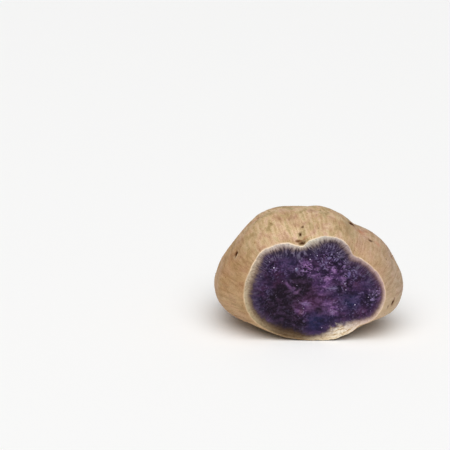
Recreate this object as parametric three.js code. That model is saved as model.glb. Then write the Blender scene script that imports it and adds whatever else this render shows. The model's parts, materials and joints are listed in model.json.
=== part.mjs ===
// The larger part of a purple-fleshed yam, with one end sliced off, lying on its side.
// It grew as one piece, so it is one solid: a flat cut face, a swollen body with a furrow,
// swells and eye hollows, a dry stalk nub at the rear and a small flat spot to rest on.
// Millimetres. +Z is up, the cut face looks along -Y, and the origin is at the bottom,
// under the middle of the whole.

import * as THREE from "three";
import { mergeVertices } from "three/addons/utils/BufferGeometryUtils.js";

// ---- Driving dimensions ------------------------------------------------------------

const YAM_LENGTH = 86; // from the cut to the broken end of the dry stalk nub
const GIRTH_DEPTH = 28; // how far behind the cut the body is thickest
const NUB_RADIUS = 3.2; // at its broken end

const SPOKES = 120; // points round each ring
const BODY_RINGS = 34; // rings from the edge of the cut to the end of the nub
const CAP_RINGS = 4; // rings across the cut face

// The edge of the cut, [x, z], anticlockwise from its right-hand side. It has a notch at
// the upper right, where a furrow runs into it, and a dip over a small scar at the top.
const CUT_OUTLINE = [
  [41.6, 26], [39.5, 34.6], [33.2, 41.9], [30.1, 44.5], [28, 46], [25.9, 46.7],
  [24.2, 47.3], [23.3, 49.2], [21.9, 52.2], [18.4, 55.8], [15.1, 57.2], [11.6, 58.1],
  [7.8, 58.1], [4.6, 57.1], [1.2, 56.2], [-0.8, 54.9], [-2.6, 53.2], [-5.2, 53.1],
  [-8.6, 54.2], [-12.6, 54.6], [-18.5, 53], [-23.4, 51], [-26.9, 46.2], [-30.2, 40.1],
  [-33, 31.5], [-33.2, 22], [-29, 12.5], [-21.5, 6.6], [-13.5, 2.8], [-5, 0.9], [6, 0.5],
  [14.7, 1.1], [20.6, 3.2], [24.4, 5.6], [27.6, 8.2], [31.2, 10.1], [35.9, 13.4],
  [38.6, 16.3], [40.9, 20.6],
];
const CUT_CENTRE = [4, 28];

// The girth, where the body is thickest, [x, z], in the same order. Its lowest part is
// under the floor, which is what presses the small flat spot into the underside.
const GIRTH_OUTLINE = [
  [54.5, 23], [51.5, 35.5], [44, 46], [36, 51.5], [28.8, 55], [20.5, 61], [10.5, 64],
  [-1, 64.6], [-12, 64.3], [-22, 61.5], [-31, 54.5], [-38.5, 45], [-46, 32.5], [-49, 20.5],
  [-43, 9.6], [-30, 3.2], [-15, -0.8], [3, -2.6], [22, 1], [41, 7], [51.5, 13.6],
];
const GIRTH_CENTRE = [2, 31];
const ROUNDING = 0.85; // how the body swells to its girth: 1 is a sine, less is rounder

// How the body draws in behind its girth, down a short neck to the stalk nub:
// [distance behind the cut, share of its full radius that is left].
const CLOSING_PROFILE = [
  [28, 1], [38, 0.97], [48, 0.908], [57, 0.812], [65, 0.68], [71, 0.525], [75, 0.375],
  [77.6, 0.245], [79.6, 0.145], [82, 0.075], [86, 0.03],
];
const NECK_DEPTH = 76; // how far behind the cut the neck is
const NECK_CENTRE = [-12, 31]; // [x, z]
const NECK_DRIFT = 1.6; // how late the middle line turns to the neck: 1 is a straight line
const NUB_LEAN = [-0.34, 0.26]; // how the nub leans, in x and z for each millimetre back

// Swells (+) and hollows (-) on the body: the direction they face in degrees, how far
// behind the cut they sit, their reach round (degrees) and along the body, their height.
const LUMPS = [
  { facing: 41, behind: 30, round: 7, along: 14, height: -1.3 }, // the furrow
  { facing: 47, behind: 58, round: 9, along: 10, height: -1.2 }, // and its end
  { facing: 205, behind: 42, round: 24, along: 13, height: 1.6 },
  { facing: 158, behind: 58, round: 18, along: 12, height: -2.4 },
  { facing: 10, behind: 56, round: 20, along: 12, height: 2.0 },
  { facing: 85, behind: 66, round: 24, along: 9, height: 1.8 },
  { facing: 318, behind: 62, round: 18, along: 12, height: -2.0 },
  { facing: 255, behind: 64, round: 20, along: 10, height: 1.4 },
];

// Eye hollows, where side roots grew: rows that run the length of the body.
const EYE_ROWS = [12, 78, 133, 188, 232, 305]; // the direction that each row faces
const EYE_SPACING = 19; // along a row; each row starts a third of it after the last
const EYE_FIRST = 24; // behind the cut
const EYE_LAST = 72;
const EYE_REACH = 2.9;
const EYE_DEPTH = 0.9;

// A slow unevenness of the whole skin, three waves round and one each WAVE_LENGTH along.
const WAVE_HEIGHT = 0.35;
const WAVE_LENGTH = 23;
const WAVE_TWIST = 17; // how far back it turns by a radian

const RIM_CALM = 12; // swells, hollows and waves fade in over this distance behind the cut

// ---- Outlines as radii -------------------------------------------------------------

const TURN = 2 * Math.PI;
const CURVE_STEPS = 40; // samples between two points of an outline or profile

// The distance from a centre to a smooth closed outline, as a function of the angle.
function radiusOf(outline, [cx, cz]) {
  const curve = new THREE.CatmullRomCurve3(
    outline.map(([x, z]) => new THREE.Vector3(x - cx, 0, z - cz)), true, "centripetal");
  const samples = curve.getPoints(CURVE_STEPS * outline.length).slice(0, -1)
    .map((p) => ({ angle: (Math.atan2(p.z, p.x) + TURN) % TURN, radius: Math.hypot(p.x, p.z) }))
    .sort((a, b) => a.angle - b.angle);
  const first = samples[0];
  const last = samples[samples.length - 1];
  samples.unshift({ angle: last.angle - TURN, radius: last.radius });
  samples.push({ angle: first.angle + TURN, radius: first.radius });
  return (angle) => {
    const a = THREE.MathUtils.euclideanModulo(angle, TURN);
    const next = samples.findIndex((s) => s.angle > a);
    const [p, q] = [samples[next - 1], samples[next]];
    return THREE.MathUtils.mapLinear(a, p.angle, q.angle, p.radius, q.radius);
  };
}

const cutRadius = radiusOf(CUT_OUTLINE, CUT_CENTRE);
const girthRadius = radiusOf(GIRTH_OUTLINE, GIRTH_CENTRE);

// The cut's radius with its corners softened, by averaging it over a spread of radians on
// either side. The cut itself is sharp, and the body loses its corners as it swells.
const SOFTEST = 0.4;
const SOFTENING_STEPS = 4;
function softCutRadius(angle, spread) {
  let sum = 0;
  for (let i = -SOFTENING_STEPS; i <= SOFTENING_STEPS; i += 1) {
    sum += cutRadius(angle + (spread * i) / SOFTENING_STEPS);
  }
  return sum / (2 * SOFTENING_STEPS + 1);
}

// The closing profile as a smooth curve, with its shares drawn out to millimetres so that
// both directions of the curve have one scale.
const closingSamples = new THREE.CatmullRomCurve3(
  CLOSING_PROFILE.map(([behind, share]) => new THREE.Vector3(behind, YAM_LENGTH * share, 0)),
  false, "centripetal").getPoints(CURVE_STEPS * CLOSING_PROFILE.length);

// The share of the full radius that is left at a distance behind the cut.
function closingShare(behind) {
  const next = closingSamples.findIndex((s) => s.x >= behind);
  if (next === 0) return 1;
  const [p, q] = [closingSamples[next - 1], closingSamples[next]];
  return THREE.MathUtils.mapLinear(behind, p.x, q.x, p.y, q.y) / YAM_LENGTH;
}

// ---- The skin ----------------------------------------------------------------------

function bell(distance, reach) {
  return Math.exp(-0.5 * (distance / reach) ** 2);
}

function degreesApart(angle, facing) {
  return THREE.MathUtils.euclideanModulo(THREE.MathUtils.radToDeg(angle) - facing + 180, 360) - 180;
}

// How far lumps, eye hollows and waves move the skin, at a place where its radius is known.
function relief(angle, behind, radius) {
  let height = WAVE_HEIGHT * Math.sin(3 * angle + behind / WAVE_TWIST)
    * Math.sin((TURN * behind) / WAVE_LENGTH);
  for (const lump of LUMPS) {
    height += lump.height * bell(degreesApart(angle, lump.facing), lump.round)
      * bell(behind - lump.behind, lump.along);
  }
  EYE_ROWS.forEach((facing, row) => {
    const round = THREE.MathUtils.degToRad(degreesApart(angle, facing)) * radius;
    const start = EYE_FIRST + (EYE_SPACING * (row % 3)) / 3;
    for (let eye = start; eye < EYE_LAST; eye += EYE_SPACING) {
      height -= EYE_DEPTH * bell(Math.hypot(round, behind - eye), EYE_REACH);
    }
  });
  return height;
}

// The middle line of the body, [x, z], from the cut through the girth to the nub.
function middleLine(behind, swelling) {
  const closing = (behind - GIRTH_DEPTH) / (NECK_DEPTH - GIRTH_DEPTH);
  const drift = THREE.MathUtils.clamp(closing, 0, 1) ** NECK_DRIFT;
  const pastNeck = Math.max(0, behind - NECK_DEPTH);
  return [0, 1].map((i) => {
    const body = THREE.MathUtils.lerp(CUT_CENTRE[i], GIRTH_CENTRE[i], swelling);
    return THREE.MathUtils.lerp(body, NECK_CENTRE[i], drift) + NUB_LEAN[i] * pastNeck;
  });
}

// A point of the skin, from its angle round the body and its distance behind the cut.
function skinPoint(angle, behind) {
  const swelling = Math.sin(Math.min(behind / GIRTH_DEPTH, 1) * (TURN / 4)) ** ROUNDING;
  const full = THREE.MathUtils.lerp(
    softCutRadius(angle, SOFTEST * swelling), girthRadius(angle), swelling);
  const share = closingShare(behind);
  const fade = Math.min(behind / RIM_CALM, 1) * share;
  const radius = full * share + relief(angle, behind, full * share) * fade
    + NUB_RADIUS * (1 - share);
  const [x, z] = middleLine(behind, swelling);
  return new THREE.Vector3(
    x + radius * Math.cos(angle),
    behind,
    Math.max(0, z + radius * Math.sin(angle)), // flat where it rests
  );
}

// Distances behind the cut that space the rings evenly along the top of the body.
const WALK_STEPS = 1000;
function ringStations() {
  const walk = [{ behind: 0, length: 0 }];
  for (let i = 1; i <= WALK_STEPS; i += 1) {
    const behind = (YAM_LENGTH * i) / WALK_STEPS;
    const last = walk[i - 1];
    const step = skinPoint(TURN / 4, behind).distanceTo(skinPoint(TURN / 4, last.behind));
    walk.push({ behind, length: last.length + step });
  }
  const whole = walk[WALK_STEPS].length;
  return Array.from({ length: BODY_RINGS + 1 }, (_, i) => (
    i === BODY_RINGS ? YAM_LENGTH : walk.find((w) => w.length >= (whole * i) / BODY_RINGS).behind
  ));
}

// ---- The mesh ----------------------------------------------------------------------

// Each ring is a function from the angle to a point: from the middle of the cut face,
// over the edge of the cut and along the body, to the middle of the nub's broken end.
const cutMiddle = new THREE.Vector3(CUT_CENTRE[0], 0, CUT_CENTRE[1]);
const nubEnd = skinPoint(0, YAM_LENGTH).lerp(skinPoint(TURN / 2, YAM_LENGTH), 0.5);
const capRings = Array.from({ length: CAP_RINGS },
  (_, i) => (angle) => cutMiddle.clone().lerp(skinPoint(angle, 0), i / CAP_RINGS));
const bodyRings = ringStations().map((behind) => (angle) => skinPoint(angle, behind));
const rings = [...capRings, ...bodyRings, () => nubEnd];

// A closed lathe with one point for each ring, whose points are then moved onto the yam.
function yamGeometry() {
  const profile = rings.map((_, i) => new THREE.Vector2(
    Math.sin((TURN / 2) * (i / (rings.length - 1))), i));
  const geometry = new THREE.LatheGeometry(profile, SPOKES);
  const position = geometry.getAttribute("position");
  for (let spoke = 0; spoke <= SPOKES; spoke += 1) {
    const angle = (-TURN * (spoke % SPOKES)) / SPOKES; // this way round, the faces point out
    rings.forEach((ring, i) => {
      const p = ring(angle);
      position.setXYZ(spoke * rings.length + i, p.x, p.y, p.z);
    });
  }
  geometry.deleteAttribute("normal");
  geometry.deleteAttribute("uv");
  geometry.computeBoundingBox();
  const middle = geometry.boundingBox.getCenter(new THREE.Vector3());
  geometry.translate(-middle.x, -middle.y, 0);
  return mergeVertices(geometry, 1e-3);
}

const skin = new THREE.MeshStandardMaterial({ color: 0xc4a27c, roughness: 0.6, metalness: 0 });

const cutYam = new THREE.Mesh(yamGeometry(), skin);
cutYam.name = "cut_yam";

const yam = new THREE.Group();
yam.add(cutYam);

export default yam;
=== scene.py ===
# %% [markdown]
# # A cut purple yam
# This is the thick end of a purple-fleshed tuber that lies on its side. It has a thin tan
# skin, a pale rind and dark violet flesh, which shows where one end was sliced off.
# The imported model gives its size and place, and nothing here moves or resizes it. The
# lesson builds a finer skin over that solid, cuts the flat face, and finishes both.

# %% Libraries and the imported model
import json

import bpy
import numpy as np
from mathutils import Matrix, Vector, noise
from mathutils.bvhtree import BVHTree

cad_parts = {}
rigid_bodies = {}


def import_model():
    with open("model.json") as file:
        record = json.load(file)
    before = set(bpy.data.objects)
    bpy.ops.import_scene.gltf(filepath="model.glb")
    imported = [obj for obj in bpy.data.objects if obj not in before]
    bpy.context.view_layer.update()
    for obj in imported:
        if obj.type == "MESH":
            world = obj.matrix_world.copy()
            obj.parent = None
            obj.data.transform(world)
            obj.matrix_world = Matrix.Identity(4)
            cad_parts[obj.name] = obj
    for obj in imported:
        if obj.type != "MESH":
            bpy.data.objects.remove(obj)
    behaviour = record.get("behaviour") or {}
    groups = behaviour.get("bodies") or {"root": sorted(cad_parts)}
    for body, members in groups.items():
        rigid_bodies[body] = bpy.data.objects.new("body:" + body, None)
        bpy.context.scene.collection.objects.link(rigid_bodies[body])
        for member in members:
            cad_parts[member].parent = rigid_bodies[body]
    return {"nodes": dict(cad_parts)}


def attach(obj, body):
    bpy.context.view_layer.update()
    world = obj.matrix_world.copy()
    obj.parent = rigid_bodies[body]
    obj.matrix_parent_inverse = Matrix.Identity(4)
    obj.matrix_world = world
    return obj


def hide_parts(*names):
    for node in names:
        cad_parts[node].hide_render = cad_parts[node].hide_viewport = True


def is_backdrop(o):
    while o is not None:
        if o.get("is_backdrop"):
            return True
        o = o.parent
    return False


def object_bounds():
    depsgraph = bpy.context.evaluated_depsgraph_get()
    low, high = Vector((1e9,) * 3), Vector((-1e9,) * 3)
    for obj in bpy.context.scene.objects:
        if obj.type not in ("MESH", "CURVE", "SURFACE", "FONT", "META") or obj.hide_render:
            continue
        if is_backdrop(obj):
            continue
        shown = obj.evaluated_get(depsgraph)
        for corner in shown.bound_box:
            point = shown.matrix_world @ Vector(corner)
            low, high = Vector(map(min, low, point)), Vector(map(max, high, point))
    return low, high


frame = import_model()
cad_low, cad_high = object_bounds()
MM = 0.001
cut_y = cad_low.y / MM  # the flat cut faces the front, at this y in mm
print("CAD box in mm:", [round(v / MM, 1) for v in (*cad_low, *cad_high)])

# %% [markdown]
# ## The camera
# A tuber on a table is looked at from a little above. A long lens from 0.7 m away keeps the
# cut face square to the eye, so that its outline isn't stretched. The camera is made
# before the object, because every later choice is judged through it.

# %% The camera
CAMERA_PLACE = (-0.046, -0.6729, 0.233)  # metres
CAMERA_TILT = np.radians(15)  # how far it looks down
LENS, SENSOR_WIDTH = 100, 36  # mm
SIGHT_LIMIT = 50  # metres, past which nothing is drawn

camera_data = bpy.data.cameras.new("camera")
camera_data.lens = LENS
camera_data.sensor_width = SENSOR_WIDTH
camera_data.clip_end = SIGHT_LIMIT
camera = bpy.data.objects.new("camera", camera_data)
camera.location = CAMERA_PLACE
camera.rotation_euler = (np.pi / 2 - CAMERA_TILT, 0, 0)
bpy.context.collection.objects.link(camera)
bpy.context.scene.camera = camera
print("camera: a", LENS, "mm lens", CAMERA_PLACE[2], "m above the table")

# %% [markdown]
# ## How a finish is written down
# In Blender a finish is a tree of nodes, and so is a shape that repeats. The nodes could be
# clicked into place, but a short function that adds one with its settings and its links keeps
# a tree readable as text: each line names one node and says what feeds it. Colours are
# written as hex values, as on a paint card, and one function turns them into the linear
# values that shaders work in.


# %% Helpers for nodes and colours
def linear(hex_colour):
    """An sRGB hex colour as the linear RGBA that shaders work in."""
    channels = [int(hex_colour[i : i + 2], 16) / 255 for i in (1, 3, 5)]
    return [c / 12.92 if c <= 0.04045 else ((c + 0.055) / 1.055) ** 2.4 for c in channels] + [1]


def add_node(tree, kind, inputs=None, stops=None, **settings):
    """Adds one node with its settings, its input values or links, and a ramp's stops."""
    node = tree.nodes.new(kind)
    for name, value in settings.items():
        setattr(node, name, value)
    for key, value in (inputs or {}).items():
        if isinstance(value, bpy.types.NodeSocket):
            tree.links.new(value, node.inputs[key])
        else:
            node.inputs[key].default_value = value
    if stops:
        elements = node.color_ramp.elements
        while len(elements) < len(stops):
            elements.new(1)
        for element, (position, colour) in zip(elements, stops):
            element.position = position
            element.color = linear(colour)
    return node


def new_material(name):
    """An empty material and its node tree."""
    material = bpy.data.materials.new(name)
    material.use_nodes = True
    material.node_tree.nodes.clear()
    return material, material.node_tree


print("a mid grey is", round(linear("#808080")[0], 3), "in linear light")

# %% [markdown]
# ## The table and the light
# The table is one large pale sheet, wide enough that its edge is never in view. A lamp that
# stands near would light it in a pool, so the light is a sun with a very wide disc, high
# above and a little in front, which acts like a large soft window in the ceiling. A dim white
# room all round fills what it leaves dark. That gives the same light everywhere, and a
# shadow that is dark close to the yam and soft at its edge.

# %% The table
# Matt laminate has hardly any shine, so nothing on it draws the eye but the shadow.
TABLE_REACH = 12.0  # metres from the middle to each edge

table_mesh = bpy.data.meshes.new("table")
corners = [(x * TABLE_REACH, y * TABLE_REACH, 0) for x, y in ((-1, -1), (1, -1), (1, 1), (-1, 1))]
table_mesh.from_pydata(corners, [], [(0, 1, 2, 3)])
table = bpy.data.objects.new("table", table_mesh)
bpy.context.collection.objects.link(table)
table_finish, tree = new_material("matt_white_laminate")
shader = add_node(tree, "ShaderNodeBsdfPrincipled",
                  {"Base Color": linear("#fafaf9"), "Roughness": 0.7, "Specular IOR Level": 0.2})
add_node(tree, "ShaderNodeOutputMaterial", {"Surface": shader.outputs[0]})
table_mesh.materials.append(table_finish)
table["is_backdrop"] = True
print("table:", 2 * TABLE_REACH, "m wide")

# %% The lamps
ROOM_GLOW = 0.22
SUN_PLACE = (0.02, -0.46, 1.0)  # the direction that the sun stands in
SUN_POWER = 2.74
SUN_DISC = 74  # degrees across; a wide disc softens its shadows

world = bpy.data.worlds.new("room")
world.use_nodes = True
world.node_tree.nodes["Background"].inputs["Color"].default_value = linear("#fdfdff")
world.node_tree.nodes["Background"].inputs["Strength"].default_value = ROOM_GLOW
bpy.context.scene.world = world
sun_data = bpy.data.lights.new("soft_sun", "SUN")
sun_data.energy = SUN_POWER
sun_data.angle = np.radians(SUN_DISC)
sun = bpy.data.objects.new("soft_sun", sun_data)
sun.rotation_euler = (-Vector(SUN_PLACE)).to_track_quat("-Z", "Y").to_euler()
bpy.context.collection.objects.link(sun)
bpy.context.scene.view_settings.view_transform = "Standard"
print("sun:", SUN_DISC, "degrees wide")

# %% [markdown]
# ## The skin as a grid
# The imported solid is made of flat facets 2 or 3 mm wide. It could be smoothed with a
# subdivision modifier, but its triangles would print through, and the sharp edge of the cut
# would need creases. Here the form is measured instead: rays from the middle line of the body
# find the solid's surface at even steps round and along it. That gives a clean grid of rings,
# from the edge of the cut to the end of the stalk nub, which is smooth once it is averaged a
# little. Every mark on the skin can then be placed by its direction and distance.

# %% Rays from the middle line find the skin
SPOKES = 424  # points round each ring
RINGS = 168  # from the edge of the cut to the end of the nub
EDGE_STEP = 0.02  # mm, how far behind the cut the first ring is measured
NUB_TIP = 1.2  # mm of the nub's end that its frayed fibres stand in
PROBE_RINGS = 240  # a first coarse measuring, which finds how long the skin is
PROBE_EVERY = 16  # it takes one spoke in this many
MIDDLE_LINE = np.array([  # mm: distance behind the cut, x, z
    [0, 1.5, 28], [28, -0.5, 31], [50, -4.5, 31], [65, -9.7, 31], [76, -14.5, 31], [86, -17.9, 33.6],
])

cad_mesh = frame["nodes"]["cut_yam"].data
cad_tree = BVHTree.FromPolygons(
    [v.co for v in cad_mesh.vertices], [p.vertices for p in cad_mesh.polygons])
angles = np.linspace(0, 2 * np.pi, SPOKES, endpoint=False)
yam_length = (cad_high.y - cad_low.y) / MM


def middle(behind):
    """The x and z of the middle line, in mm, at a distance behind the cut."""
    return [np.interp(behind, MIDDLE_LINE[:, 0], MIDDLE_LINE[:, k]) for k in (1, 2)]


def skin_ring(behind, ring_angles):
    """The points where rays from the middle line leave the solid, in mm."""
    x, z = middle(behind)
    start = Vector((x, cut_y + behind, z)) * MM
    found = [cad_tree.ray_cast(start, Vector((np.cos(a), 0, np.sin(a))))[0] for a in ring_angles]
    return np.array(found) / MM


probe_steps = np.linspace(EDGE_STEP, yam_length - NUB_TIP, PROBE_RINGS)
probe = np.array([skin_ring(b, angles[::PROBE_EVERY]) for b in probe_steps])
probe_run = np.linalg.norm(np.diff(probe, axis=0), axis=2).mean(1).cumsum()
probe_run = np.concatenate([[0], probe_run])
stations = np.interp(np.linspace(0, probe_run[-1], RINGS), probe_run, probe_steps)
skin = np.array([skin_ring(b, angles) for b in stations])
skin[0, :, 1] = cut_y
print("skin grid:", skin.shape, "ring spacing", round(probe_run[-1] / RINGS, 2), "mm")

# %% The grid is averaged until the facets are gone
SMOOTHING_PASSES = 9  # each spreads a point over about 0.7 of a grid step
EDGE_PASSES = 2  # at the cut, whose outline keeps its corners
EDGE_RINGS = 14  # from there to the full smoothing


def average_round(grid):
    """Moves each point halfway to the mean of its neighbours on the same ring."""
    return (np.roll(grid, 1, axis=1) + 2 * grid + np.roll(grid, -1, axis=1)) / 4


def average_along(grid):
    """The same with its neighbours on the rings before and after."""
    before = np.concatenate([2 * grid[:1] - grid[1:2], grid[:-1]])
    after = np.concatenate([grid[1:], 2 * grid[-1:] - grid[-2:-1]])
    return (before + 2 * grid + after) / 4


measured = skin
for count in range(SMOOTHING_PASSES):
    skin = average_along(average_round(skin))
    if count + 1 == EDGE_PASSES:
        crisp = skin
smooth_share = np.clip(np.arange(RINGS) / EDGE_RINGS, 0, 1)[:, None, None]
skin = crisp + smooth_share * (skin - crisp)
skin[0, :, 1] = cut_y
moved = np.linalg.norm(skin - measured, axis=2)
print("smoothing moved the skin by", moved.mean().round(3), "mm on average")


# %% Which way the skin faces
def outward(grid):
    """Unit normals of the skin grid, pointing out."""
    round_step = np.roll(grid, -1, axis=1) - np.roll(grid, 1, axis=1)
    along_step = np.gradient(grid, axis=0)
    normals = np.cross(along_step, round_step)
    return normals / np.linalg.norm(normals, axis=2, keepdims=True)


normals = outward(skin)
behind = skin[:, :, 1] - cut_y  # how far each point is behind the cut, in mm
facing = np.degrees(angles)  # the direction of each spoke: 0 is right and 90 is up
print("normals point out:", bool((normals[RINGS // 2, 0] @ [1, 0, 0]) > 0))

# %% [markdown]
# ## The relief of the skin
# A tuber swells unevenly in the soil, so its skin has wide low swells, shallow dimples a few
# millimetres across, and fine wrinkles that run the length of the body. Where side roots
# grew, there are eyes: short dark scars, each with a pale ridge on the side toward the cut.
# A texture could paint these, but the eyes and dents also change the outline and catch the
# light, so they move the grid itself. Only what is finer than the grid is left to the finish.

# %% Swells, dimples and wrinkles
SWELL = (13.0, 0.30)  # mm: how wide, how high
DIMPLE = (4.2, 0.13)
WRINKLE = (1.9, 0.05)
GRAIN_RADIUS = 36.0  # mm; the lengthwise grain is drawn round a body of this radius
GRAIN_STRETCH = 0.18  # a streak's width, as a share of its length along the body
EDGE_FADE = 3.0  # mm behind the cut over which the relief grows
EDGE_SHARE = 0.4  # how much of it is there at the cut itself
NICK = (1.3, 0.24)  # the knife leaves the skin's edge slightly ragged
NOTCH = (4.2, 0.34)  # and now and then breaks a flake out of it
NICK_REACH = 0.9  # mm behind the cut
SEED_STEP = (17.3, -9.1, 5.7)  # each seed reads the noise this much further on

run = np.concatenate([[0], np.linalg.norm(np.diff(skin, axis=0), axis=2).mean(1).cumsum()])
grain = np.stack(np.broadcast_arrays(
    GRAIN_RADIUS * np.cos(angles), GRAIN_RADIUS * np.sin(angles), GRAIN_STRETCH * run[:, None]), axis=2)


def waves(points, width, seed):
    """Smooth noise from -1 to 1 at each point, with features about as wide as given."""
    shift = Vector([seed * step for step in SEED_STEP])
    flat = [noise.noise(Vector(p) / width + shift) for p in points.reshape(-1, 3)]
    return np.array(flat).reshape(points.shape[:-1])


relief = SWELL[1] * waves(skin, SWELL[0], 1) + DIMPLE[1] * waves(skin, DIMPLE[0], 2)
relief += WRINKLE[1] * waves(grain, WRINKLE[0], 3)
relief *= np.clip(run / EDGE_FADE, EDGE_SHARE, 1)[:, None]
broken_edge = NICK[1] * waves(skin, NICK[0], 8) + NOTCH[1] * waves(skin, NOTCH[0], 13)
relief += broken_edge * np.exp(-run / NICK_REACH)[:, None]
print("skin's length along the body:", run[-1].round(1), "mm; relief so far, in mm:",
      relief.min().round(2), "to", relief.max().round(2))

# %% Low humps and hollows, and the furrow between two of them
# Direction, mm behind the cut, mm round the body, mm along it, mm high (a hollow is negative).
HUMPS = [
    (46, 26, 14.0, 20.0, 2.0), (74, 38, 8.0, 18.0, 1.5), (57.5, 26, 4.0, 12.0, -1.0),
    (33, 29, 6.0, 14.0, 0.6), (5, 25, 7.0, 14.0, -1.0), (341, 11, 7.0, 12.0, 1.4),
]
HUMP_START = 6.0  # mm behind the cut where they have their full height
FURROW = np.array([[0, 44], [10, 55], [20, 55], [30, 52], [45, 50]])  # mm behind the cut, direction
FURROW_HALF_WIDTH, FURROW_DEPTH = 2.6, 0.45  # mm
FURROW_START = (4.0, 8.0)  # mm behind the cut where it starts, over what length it deepens
FURROW_END = (34.0, 8.0)  # where it fades, over what length

round_mm = np.linalg.norm(np.roll(skin, -1, axis=1) - skin, axis=2).mean(1) * SPOKES / 360


def mm_round_from(direction):
    """How far round the body each point of the skin is from a direction, in mm."""
    return ((facing - direction + 180) % 360 - 180) * round_mm[:, None]


for direction, place, wide, long, high in HUMPS:
    away = (mm_round_from(direction) / wide) ** 2 + ((behind - place) / long) ** 2
    relief += high * np.exp(-away) * np.clip(behind / HUMP_START, 0, 1)
furrow_direction = np.interp(behind, FURROW[:, 0], FURROW[:, 1])
furrow = np.exp(-((mm_round_from(furrow_direction) / FURROW_HALF_WIDTH) ** 2))
furrow *= np.clip((behind - FURROW_START[0]) / FURROW_START[1], 0, 1)
furrow *= 1 / (1 + np.exp((behind - FURROW_END[0]) / FURROW_END[1]))
relief -= FURROW_DEPTH * furrow
print(len(HUMPS), "humps and hollows, and a furrow", 2 * FURROW_HALF_WIDTH, "mm wide")

# %% Scallops where the skin tore at the lower right of the cut, and a small dip on top of it
SCALLOPS = [  # direction, mm wide, mm out (a dip is negative)
    (331, 5.5, 0.75), (322.5, 2.4, -0.50), (313, 4.0, 0.35), (104.5, 3.0, -0.35),
]
SCALLOP_REACH = 2.5  # mm behind the cut

for direction, wide, out in SCALLOPS:
    scallop = out * np.exp(-((mm_round_from(direction) / wide) ** 2))
    relief += scallop * np.exp(-run / SCALLOP_REACH)[:, None]
print("the cut's edge moves by", relief[0].min().round(2), "to", relief[0].max().round(2), "mm")

# %% The neck of the nub is folded, drawn in and flared at its break
FOLD = (1.3, 0.42)  # mm: how wide, how deep
FOLD_SHAPE = (0.35, 1.6)  # shares of that depth: how high a fold is, how far its creases go down
FOLD_STRETCH = 0.15  # a fold's width, as a share of its length
FOLD_REACH = 9.0  # mm of the neck's length over which they deepen
WAIST = (4.0, 1.8, 0.30)  # mm before the end, how long, how deep
FLARE = (1.6, 0.35)  # mm: how long, how far out
NUB_RADIUS = 3.6  # mm; the folds are drawn round a neck of this radius

before_end = run[-1] - run
round_nub = np.stack(np.broadcast_arrays(
    NUB_RADIUS * np.cos(angles), NUB_RADIUS * np.sin(angles), FOLD_STRETCH * run[:, None]), axis=2)
folds = FOLD_SHAPE[0] - np.abs(waves(round_nub, FOLD[0], 9)) * FOLD_SHAPE[1]
relief += FOLD[1] * folds * np.clip(1 - before_end / FOLD_REACH, 0, 1)[:, None]
relief -= WAIST[2] * np.exp(-(((before_end - WAIST[0]) / WAIST[1]) ** 2))[:, None]
relief += FLARE[1] * np.clip(1 - before_end / FLARE[0], 0, 1)[:, None] ** 2
print("the nub's last ring is", np.ptp(skin[-1, :, 0]).round(1), "mm wide")

# %% Eyes and scars, each placed by its direction and its distance behind the cut
# Direction in degrees round the body, mm behind the cut, mm across the body, mm along it,
# turn in degrees, depth in mm, how dark it is, and how pale the ridge beside it is.
SINGLE_SCARS = [
    (161.5, 16.8, 2.2, 3.4, 35, 0.60, 1.0, 0.9),
    (100.2, 9.6, 1.0, 1.8, 20, 0.20, 0.8, 0.2),
    (104.3, 5.2, 1.2, 2.6, 0, 0.40, 1.0, 0.3),
    (105.3, 0.95, 2.6, 1.4, 4, 0.45, 1.0, 0.4),
    (108.6, 1.9, 2.2, 0.9, 28, 0.15, 0.6, 0.2),
    (102.6, 0.8, 1.6, 0.8, 0, 0.15, 0.8, 0.1),
    (50.0, 24.5, 3.4, 5.4, 10, 0.50, 0.95, 0.2),
    (33.1, 16.1, 1.5, 2.6, 50, 0.22, 0.8, 0.2),
    (-11.9, 6.3, 3.2, 1.8, 30, 0.40, 1.0, 0.6),
    (-14.4, 3.6, 1.4, 1.2, 20, 0.22, 0.85, 0.2),
    (72.2, 26.0, 1.0, 2.2, 10, 0.12, 0.5, 0.1),
    (18.0, 12.1, 1.0, 1.8, 0, 0.12, 0.5, 0.1),
    (86.0, 7.0, 0.8, 1.4, 0, 0.10, 0.5, 0.1),
]
EYE_ROWS = (12, 78, 133, 188, 232, 305)  # the direction that each row of eyes faces
EYE_SPACING = 19.0  # mm along a row; each row starts a third of it after the last
EYE_FIRST, EYE_LAST = 24.0, 72.0  # mm behind the cut
EYE_LEAST = (1.6, -20, 0.6)  # the draw's lower limits: mm wide, turn in degrees, how dark
EYE_MOST = (3.2, 20, 1)  # and its upper limits
EYE_SLIMNESS = 0.4  # an eye's size along the body, as a share of its width
EYE_DEPTH, EYE_PALENESS = 0.45, 0.8

draw = np.random.default_rng(seed=7)
scars = list(SINGLE_SCARS)
for row, direction in enumerate(EYE_ROWS):
    for place in np.arange(EYE_FIRST + EYE_SPACING * (row % 3) / 3, EYE_LAST, EYE_SPACING):
        wide, turn, dark = draw.uniform(EYE_LEAST, EYE_MOST)
        scars.append((direction, place, wide, wide * EYE_SLIMNESS, turn, EYE_DEPTH, dark, EYE_PALENESS))
print("scars:", len(SINGLE_SCARS), "placed singly and", len(scars) - len(SINGLE_SCARS), "eyes in rows")

# %% How far each point of the skin is from a mark
TATTER = (0.9, 0.45)  # a mark's edge is uneven: mm wide, share of its reach
MARK_LIMIT = 4  # widths from a mark, past which it changes nothing

ragged = waves(skin, TATTER[0], 4)


def ring_at(place):
    """The ring of the skin that lies a distance behind the cut, given in mm."""
    return int(np.searchsorted(skin[:, :, 1].mean(1) - cut_y, place))


def spoke_at(direction):
    """The spoke that points in a direction, given in degrees."""
    return round(direction / 360 * SPOKES) % SPOKES


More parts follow.
